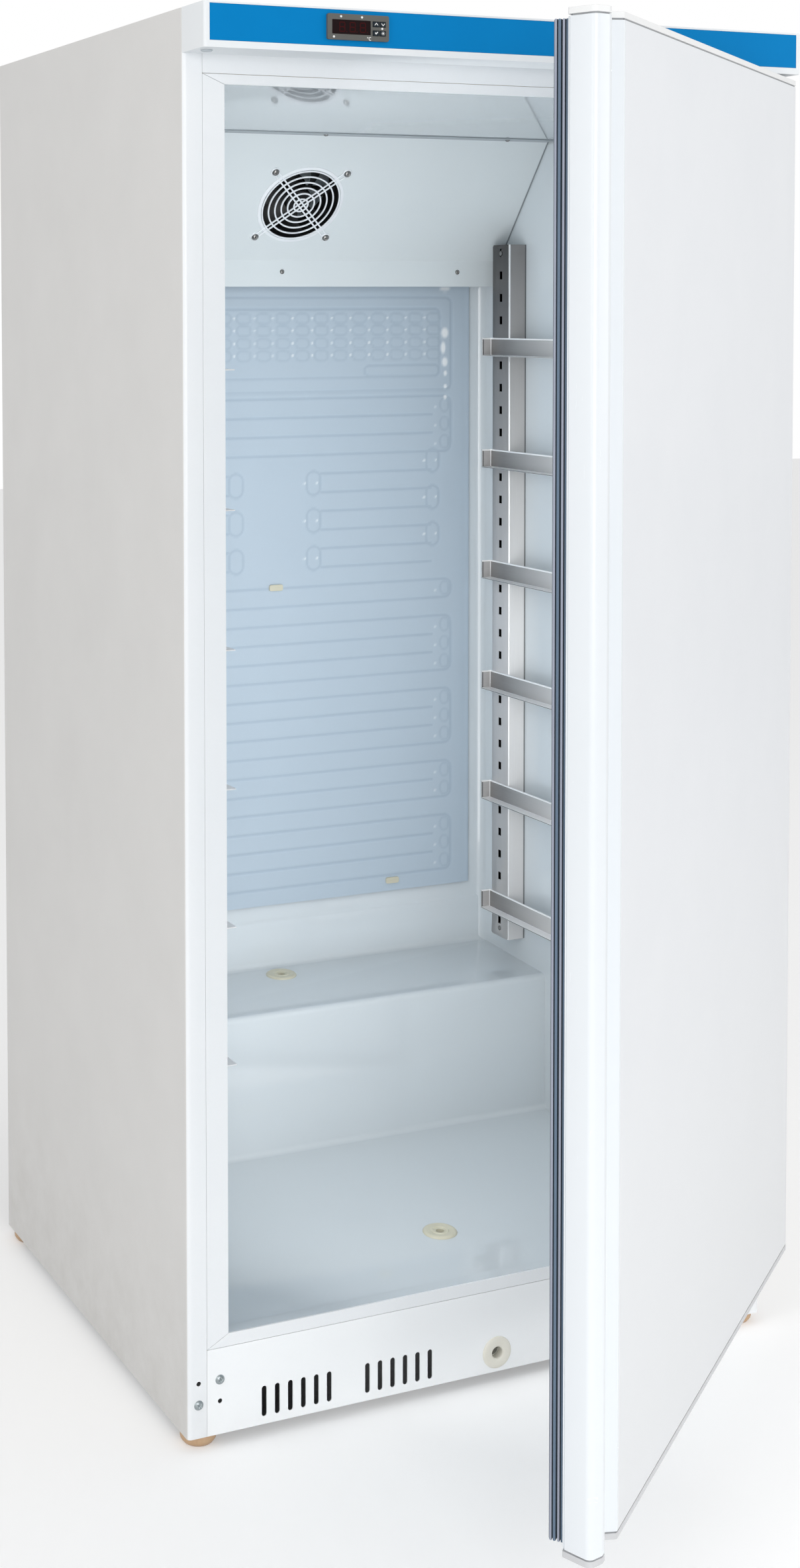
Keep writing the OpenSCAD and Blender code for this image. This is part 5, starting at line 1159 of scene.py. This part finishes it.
# the bevelled bends get the white finish, a painted highlight along each bend
bends = uprights.modifiers.new("bends", "BEVEL")  # the bends catch the light as thin white lines
bends.limit_method = "WEIGHT"
bends.width = uprightPlan["bend"] / 1000
bends.segments = 3
uprights.data.materials.append(finishes["bendHighlight"])
bends.material = len(uprights.data.materials) - 1

# a runner's faces by where they are and which way they look: its wall stands beyond one x, its shelf's
# edge before another, and its stop beyond a depth
runnerPlan = {"count": 6, "wallX": 359, "edgeX": 345, "stopDepth": 500, "edge": 0.3}
# each face gets its own lit or shaded copy of the steel: painted light and shade
runnerFaces = {
    "runnerWallSteel": lambda at, out: (
        (np.abs(out[:, 0]) > squarely) & (np.abs(at[:, 0]) > runnerPlan["wallX"])
    ),
    "runnerStopSteel": lambda at, out: (out[:, 1] < -squarely) & (at[:, 1] > runnerPlan["stopDepth"]),
    "runnerFootShade": lambda at, out: out[:, 2] < -squarely,
    "runnerEdgeShade": lambda at, out: (
        (np.abs(out[:, 0]) > squarely) & (np.abs(at[:, 0]) < runnerPlan["edgeX"])
    ),
}
for level in range(1, runnerPlan["count"] + 1):
    piece = dressNode("tray_runners_%d" % level, "runnerSteel", "stainless", runnerPlan["edge"])
    for finish, picks in runnerFaces.items():
        paintFaces(piece, finish, picks)
    # the runners' soft edges get the white bend finish, a painted highlight
    piece.data.materials.append(finishes["bendHighlight"])
    piece.modifiers["soft edge"].material = len(piece.data.materials) - 1
dressNode("upright_screws", "screwSteel", "screw_steel", 0.3)
print("rails done")

# Drains: plugs in the floor and the step, the outlet's bushing and the tubes
drains = {
    "plugs": [(10.0, 157.0, 143.5, 22.0), (-9.0, 645.0, 381.0, 488.0)],  # x, depth, z at a nearer depth
    "slope": 2.0, "outlet": (10.0, 0.0, 42.0),
    "plugProfile": [[6.0, -6.0], [6.0, 1.6], [6.6, 2.2], [9.5, 2.3], [10.2, 3.3], [12.2, 3.5], [13.0, 2.7],
                    [17.0, 2.9], [19.6, 3.4], [21.6, 3.2], [23.6, 2.2], [24.7, 1.0], [25.0, 0.1], [12.5, 0.1],
                    [12.5, -24.0], [10.2, -24.0], [10.2, -6.0], [6.0, -6.0]],
    "bushingProfile": [[8.0, -10.0], [8.0, 1.0], [8.6, 2.1], [10.0, 2.9], [12.0, 3.2], [17.2, 3.2],
                       [19.4, 2.8], [21.2, 1.9], [22.0, 0.9], [22.0, 0.0], [14.8, 0.0], [14.8, -10.0],
                       [8.0, -10.0]],
}
plugParts = []
tilt = math.radians(drains["slope"])
for x, depth, nearZ, nearDepth in drains["plugs"]:
    points, faces = sheetOf(turnedForm(drains["plugProfile"], 56), closeV=True)
    place = (x, depth, nearZ + math.tan(tilt) * (depth - nearDepth))
    placed = onPlane(points, place, (1, 0, 0), (0.0, math.cos(tilt), math.sin(tilt)))
    plugParts.append((atFront(placed), faces))
makePiece("drain_plug_rings", plugParts, "ivoryPlastic", "cabinet", ["drain_plugs"], 40)
points, faces = sheetOf(turnedForm(drains["bushingProfile"], 64), closeV=True)
bushing = [(atFront(onPlane(points, drains["outlet"], (1, 0, 0), (0, 0, 1))), faces)]
makePiece("outlet_bushing", bushing, "bushingPlastic", "cabinet", ["drain_bushing"], 40)
dressNode("drain_tubes", "tubePlastic", "tube_plastic")
print("drains done")

# Cold machine under and behind the cabinet
machineLook = {
    "blackPaint": {
        "colour": (34, 34, 37), "second": (22, 22, 25), "contrast": 1.6, "grainScale": 700.0,
        "grainDepth": 0.05, "roughness": 0.34, "smear": 0.18, "dust": 0.3, "dustReach": 0.1,
    },
    "blackRubber": {
        "colour": (36, 36, 36), "second": (26, 26, 26), "contrast": 1.6, "grainDepth": 0.06,
        "roughness": 0.78, "dust": 0.3, "dustReach": 0.1,
    },
    "copperTube": {
        "colour": (196, 128, 92), "second": (150, 88, 62), "contrast": 2.6, "grainScale": 120.0,
        "grainDepth": 0.01, "roughness": 0.28, "smear": 0.25, "metallic": 1.0,
    },
    "footPlastic": {
        "colour": (206, 172, 136), "second": (188, 152, 116), "contrast": 1.6, "grainDepth": 0.04,
        "roughness": 0.46, "smear": 0.1, "dust": 0.25, "dustReach": 0.03,
    },
}
makeFinishes(machineLook)
machine = {
    "evaporation_pan": ("blackPlastic", "black_plastic", 0.8),
    "compressor": ("blackPaint", "black_steel", 0.6),
    "compressor_mounts": ("blackRubber", "black_rubber", 0.6),
    "compressor_relay": ("blackPlastic", "black_plastic", 2.0),
    "condenser": ("blackPaint", "black_steel", 0.0),
    "condenser_clips": ("blackPlastic", "black_plastic", 0.5),
    "refrigerant_lines": ("copperTube", "copper", 0.0),
    "mains_terminal_box": ("blackPlastic", "black_plastic", 1.2),
}
dressAll(machine)

# Feet: turned pads with a waist and a ribbed rim
feet = {
    "places": [(-425.0, 25.0), (425.0, 25.0), (-425.0, 700.0), (425.0, 700.0)], "radius": 24.0,
    "profile": [[0, 0], [17.5, 0], [19.5, 0.8], [22.2, 4.2], [22.6, 5.0], [23.6, 6.2], [24.0, 8.2],
                [24.0, 13.6], [23.4, 15.0], [0, 15.0]],
    "ribs": 24, "ribDepth": 0.5, "ribsFrom": 5.5, "ribsTo": 14, "spokes": 96,
}


# the profile turned round, and along the ribbed rim its radius shrunk by a cosine wave round the edge
def footParts():
    profile = np.array(feet["profile"])
    grid = turnedForm(profile, feet["spokes"])
    angle = np.linspace(0, 2 * math.pi, feet["spokes"], endpoint=False)[None, :]
    rim = (profile[:, 1] > feet["ribsFrom"]) & (profile[:, 1] < feet["ribsTo"]) & (profile[:, 0] > 20)
    wave = 0.5 + 0.5 * np.cos(angle * feet["ribs"])
    grid[..., :2] *= (1 - rim[:, None] * feet["ribDepth"] / feet["radius"] * wave)[..., None]
    points, faces = sheetOf(grid, closeV=True)
    return [(atFront(points + [x, depth, 0.0]), faces) for x, depth in feet["places"]]


makePiece("foot_pads", footParts(), "footPlastic", "cabinet", ["feet"], 40)
print("machine and feet done")

# Hinges: brackets, their screws below and above, and the two spare screws of the left side
hingeScrews = {
    "columns": (404.5, 434.5), "rows": (58.8, 87.1), "bracketDepth": -3.0, "topX": (408.0, 438.0),
    "topDepth": -14.0, "topZ": 1790.5,
}
dressNode("hinge_bracket_top", "whitePaint", "bare_steel", 0.4)
dressNode("hinge_bracket_bottom", "zincSheet", "bare_steel", 0.4)
columns, rows = hingeScrews["columns"], hingeScrews["rows"]
hingeScrewParts = []
for k, (x, z) in enumerate([(x, z) for x in columns for z in rows]):
    place = (x, hingeScrews["bracketDepth"], z)
    hingeScrewParts.append(screwAt("hinge", place, (1, 0, 0), (0, 0, 1), 0.4 * k))
for k, (x, z) in enumerate([(-columns[0], rows[1]), (-columns[1], rows[0])]):
    hingeScrewParts.append(screwAt("hinge", (x, 0.0, z), (1, 0, 0), (0, 0, 1), 0.2 + 0.8 * k))
for k, x in enumerate(hingeScrews["topX"]):
    place = (x, hingeScrews["topDepth"], hingeScrews["topZ"])
    hingeScrewParts.append(screwAt("header", place, (1, 0, 0), (0, -1, 0), 0.9 * k))
makePiece("hinge_screw_heads", hingeScrewParts, "screwZinc", "cabinet", ["hinge_screws"])
print("hinges done")

# Door
mouldedLook = {"grainScale": 1600.0, "grainDepth": 0.03, "roughness": 0.42, "smear": 0.1}
rubberLook = {"contrast": 1.6, "grainDepth": 0.04, "roughness": 0.6, "smear": 0.1}
doorLook = {
    "doorPaint": {
        "colour": (234, 236, 239), "second": (224, 227, 231), "contrast": 1.2, "grainScale": 800.0,
        "grainDepth": 0.03, "roughness": 0.4, "waves": (3.0, 3.0, 1.5), "waveDepth": 0.7, "scratches": 0.4,
        # the door's paint is darker towards the bottom, a painted shade
        "fades": [(2, 0.9, 0.2, (224, 226, 228))],
    },
    "doorPlastic": {
        "colour": (231, 235, 239), "second": (226, 231, 235), "contrast": 0.8, "grainScale": 1200.0,
        "grainDepth": 0.01, "roughness": 0.24, "smear": 0.1, "waves": (8.0, 8.0, 0.8), "waveDepth": 0.2,
    },
    "capPlastic": {
        **mouldedLook, "colour": (240, 241, 241), "second": (230, 231, 231),
    },
    "seamShade": {
        **mouldedLook, "colour": (170, 172, 175), "second": (158, 160, 163), "roughness": 0.6,
        "specular": 0.2,
    },
    # the bottom cap is the top cap's plastic painted darker, a painted shade
    "lowCapShade": {
        **mouldedLook, "colour": (206, 207, 209), "second": (197, 198, 200),
    },
    "innerDoorPlastic": {
        "colour": (236, 240, 243), "second": (228, 233, 237), "contrast": 0.8, "grainDepth": 0.01,
        "roughness": 0.28, "smear": 0.12, "waves": (4.0, 4.0, 4.0), "waveDepth": 0.8,
    },
    "gasketDark": {
        **rubberLook, "colour": (56, 70, 82), "second": (44, 56, 68),
    },
    # lighter copies of the gasket rubber for the pleats' bulges, painted highlights
    "gasketMiddle": {
        **rubberLook, "colour": (98, 118, 138), "second": (86, 104, 124), "roughness": 0.56,
    },
    "gasketPale": {
        **rubberLook, "colour": (156, 161, 176), "second": (142, 148, 163), "grainDepth": 0.03,
        "roughness": 0.5,
    },
}
makeFinishes(doorLook)
doorPieces = {
    "door_outer_panel": ("doorPaint", "door_steel", 0.0),
    "door_handle_profile": ("doorPlastic", "door_plastic", 0.0),
    "door_cap_top": ("capPlastic", "cap_plastic", 0.8),
    "door_cap_bottom": ("lowCapShade", "cap_plastic", 0.8),
    "door_inner_panel": ("innerDoorPlastic", "liner_plastic", 1.2),
    "door_insulation": ("foam", "foam", 0.0), "hinge_bushes": ("capPlastic", "cap_plastic", 0.0),
}
door = dressAll(doorPieces)
seams = {"top": 1779.9, "bottom": 132.1}  # beyond these heights the caps' plugs show as a grey line
# the plugs showing in the seams are painted grey, a painted shade in the gap
paintFaces(door["door_cap_top"], "seamShade", lambda at, out: at[:, 2] < seams["top"])
paintFaces(door["door_cap_bottom"], "seamShade", lambda at, out: at[:, 2] > seams["bottom"])

# gasket: its section is carried round the door's four sides and mitred at the corners
gasket = {
    "halfWidth": 432.0, "low": 134.5, "high": 1777.5, "seat": -19.0,
    # the section's bands are one rubber in three tones: the pleats' bulges are painted lighter, a painted
    # highlight, and the folds keep the darkest tone, a painted shade
    "bands": [
        ("gasketDark", [(22.0, 0.0), (0.0, 0.0), (0.0, 1.8)]),
        ("gasketMiddle", [(0.0, 1.8), (0.5, 2.4), (0.9, 3.4), (0.6, 4.4)]),
        ("gasketDark", [(0.6, 4.4), (2.6, 4.9), (2.6, 5.5), (0.8, 6.0)]),
        ("gasketPale", [(0.8, 6.0), (0.5, 7.2), (0.8, 8.4)]),
        ("gasketDark", [(0.8, 8.4), (3.2, 8.9), (3.2, 10.0), (0.8, 10.5)]),
        ("gasketMiddle", [(0.8, 10.5), (0.4, 12.0), (0.8, 13.4)]),
        ("gasketDark", [(0.8, 13.4), (2.4, 13.8), (2.4, 14.4), (0.6, 14.9)]),
        ("gasketPale", [(0.6, 14.9), (0.3, 15.8), (0.5, 16.9), (1.3, 17.8)]),
        ("gasketDark", [(1.3, 17.8), (2.4, 18.5), (4.0, 18.7), (11.0, 18.3), (18.0, 18.7), (19.6, 18.5),
                        (20.7, 17.8)]),
        ("gasketPale", [(20.7, 17.8), (21.4, 16.4), (21.7, 14.5), (21.7, 12.0), (21.5, 10.2), (20.8, 9.2)]),
        ("gasketDark", [(20.8, 9.2), (18.8, 8.9), (18.4, 8.3), (18.6, 7.6), (20.6, 7.2)]),
        ("gasketMiddle", [(20.6, 7.2), (21.4, 6.4), (21.0, 5.2), (21.0, 3.6), (21.7, 2.4), (22.0, 1.1),
                          (22.0, 0.0)]),
    ],
}


# corners of the loop for a point of the section: set inwards by its width, and out of the door by its height
def gasketParts():
    parts = []
    for finish, section in gasket["bands"]:
        section = np.asarray(section, float)
        inwards, out = section[:, 0], gasket["seat"] + section[:, 1]
        half = gasket["halfWidth"] - inwards
        low, high = gasket["low"] + inwards, gasket["high"] - inwards
        corners = [(-half, low), (half, low), (half, high), (-half, high)]
        grid = np.stack([np.stack([x, out, z], -1) for x, z in corners])
        points, faces = sheetOf(grid, closeU=True)
        parts.append((onDoor(points), faces, finish))
    return parts


makePiece("gasket_ribs", gasketParts(), "gasketDark", "door", ["door_gasket"], 50)
print("door done")

# Studio: pale floor, white world for what the camera and reflections see, soft lamps
studio = {
    "floorColour": (0.86, 0.86, 0.86, 1.0), "floorRough": 0.9, "floorReach": 14.0, "floorGlow": 0.22,
    "white": (1.0, 1.0, 1.0, 1.0), "worldLight": 0.63,
    "lamps": {
        "front": {"place": (-1.4, -4.0, 1.6), "aim": (0.0, -0.2, 0.9), "size": (1.6, 1.6), "power": 44.0},
        "low": {"place": (-0.1, -4.2, 0.5), "aim": (0.2, -0.36, -0.02), "size": (1.8, 0.5), "power": 1.0,
                "spread": 36.0},
        "side": {"place": (-4.6, -1.8, 2.6), "aim": (0.0, 0.0, 0.9), "size": (3.0, 3.0), "power": 36.0},
        "right": {"place": (4.3, -2.7, 2.5), "aim": (0.2, -0.4, 0.9), "size": (3.0, 3.0), "power": 50.0},
        "cavity": {"place": (-0.24, -0.36, 0.98), "aim": (0.46, 0.24, 0.98), "size": (0.4, 1.3),
                   "power": 3.7},
    },
}


# 1 for what the camera sees, directly or by the listed kinds of ray
def seenBy(tree, *rays):
    path = addNode(tree, "LightPath").outputs
    seen = path["Is Camera Ray"]
    for ray in rays:
        seen = calculate(tree, "MAXIMUM", seen, path[ray])
    return seen


# a wide pale square that glows a little where it is mirrored
def makeFloor():
    r = studio["floorReach"]
    floorMesh = bpy.data.meshes.new("studio_floor")
    floorMesh.from_pydata([(-r, -r, 0), (r, -r, 0), (r, r, 0), (-r, r, 0)], [], [(0, 1, 2, 3)])
    floor = bpy.data.objects.new("studio_floor", floorMesh)
    bpy.context.scene.collection.objects.link(floor)
    material = bpy.data.materials.new("studioFloor")
    material.use_nodes = True
    tree = material.node_tree
    shader = tree.nodes["Principled BSDF"]
    shader.inputs["Base Color"].default_value = studio["floorColour"]
    shader.inputs["Roughness"].default_value = studio["floorRough"]
    shader.inputs["Emission Color"].default_value = studio["white"]
    glow = calculate(tree, "MULTIPLY", seenBy(tree, "Is Glossy Ray"), studio["floorGlow"])
    tree.links.new(glow, shader.inputs["Emission Strength"])
    floorMesh.materials.append(material)


# a white world, dimmer as a light than it is to see
def makeWorld():
    world = bpy.data.worlds.new("studioWorld")
    bpy.context.scene.world = world
    world.use_nodes = True
    tree = world.node_tree
    background = tree.nodes["Background"]
    background.inputs["Color"].default_value = studio["white"]
    seen = seenBy(tree, "Is Glossy Ray", "Is Transmission Ray")
    tree.links.new(spread(tree, seen, 0.0, 1.0, studio["worldLight"], 1.0), background.inputs["Strength"])


# a matrix whose own z points away from what it looks at, kept upright
def facing(place, away):
    z = np.asarray(away, float) / np.linalg.norm(away)
    x = np.cross([0.0, 0.0, 1.0], z)
    x /= np.linalg.norm(x)
    return frameOf(x, np.cross(z, x), z, place)


# a matrix from its three axes and its place
def frameOf(x, y, z, place):
    return Matrix([[x[k], y[k], z[k], place[k]] for k in range(3)] + [[0, 0, 0, 1]])


# soft lamps, each turned to the point it aims at and hidden from the camera
def makeLamps():
    for name, lamp in studio["lamps"].items():
        light = bpy.data.lights.new("lamp_" + name, "AREA")
        light.shape = "RECTANGLE"
        light.size, light.size_y = lamp["size"]
        light.energy = lamp["power"]
        light.spread = math.radians(lamp.get("spread", 180.0))
        holder = bpy.data.objects.new("lamp_" + name, light)
        holder.matrix_world = facing(lamp["place"], np.array(lamp["place"]) - np.array(lamp["aim"]))
        holder.visible_camera = False
        bpy.context.scene.collection.objects.link(holder)


# Camera: the photograph's place, angles and framing, worked out from its 1208 by 2369 pixels
photoCamera = {
    "place": (-1.5230, -2.9054, 1.4763), "yaw": 23.34, "pitch": -2.64, "roll": -0.22, "focalPixels": 3308.1,
    "centre": (302.7, 615.1), "pixels": (1208, 2369), "sensor": 36.0, "farEnd": 60.0,
}


# the camera's axes from its yaw, pitch and roll, its lens from the photograph's height in pixels, and its
# shift from where the straight line of sight meets the photograph
def makeCamera():
    yaw, pitch, roll = (math.radians(photoCamera[k]) for k in ("yaw", "pitch", "roll"))
    forward = np.array([math.sin(yaw) * math.cos(pitch), math.cos(yaw) * math.cos(pitch), math.sin(pitch)])
    right = np.array([math.cos(yaw), -math.sin(yaw), 0.0])
    up = np.cross(right, forward)
    x = math.cos(roll) * right + math.sin(roll) * up
    y = -math.sin(roll) * right + math.cos(roll) * up
    wide, high = photoCamera["pixels"]
    middleX, middleY = photoCamera["centre"]
    data = bpy.data.cameras.new("photo_camera")
    data.sensor_width = photoCamera["sensor"]
    data.lens = photoCamera["focalPixels"] / high * photoCamera["sensor"]
    data.shift_x = (wide / 2 - middleX) / high
    data.shift_y = (middleY - high / 2) / high
    data.clip_end = photoCamera["farEnd"]
    camera = bpy.data.objects.new("photo_camera", data)
    camera.matrix_world = frameOf(x, y, -forward, photoCamera["place"])
    bpy.context.scene.collection.objects.link(camera)
    bpy.context.scene.camera = camera


makeFloor()
makeWorld()
makeLamps()
makeCamera()
bpy.context.scene.view_settings.view_transform = "Standard"
print("studio and camera done")
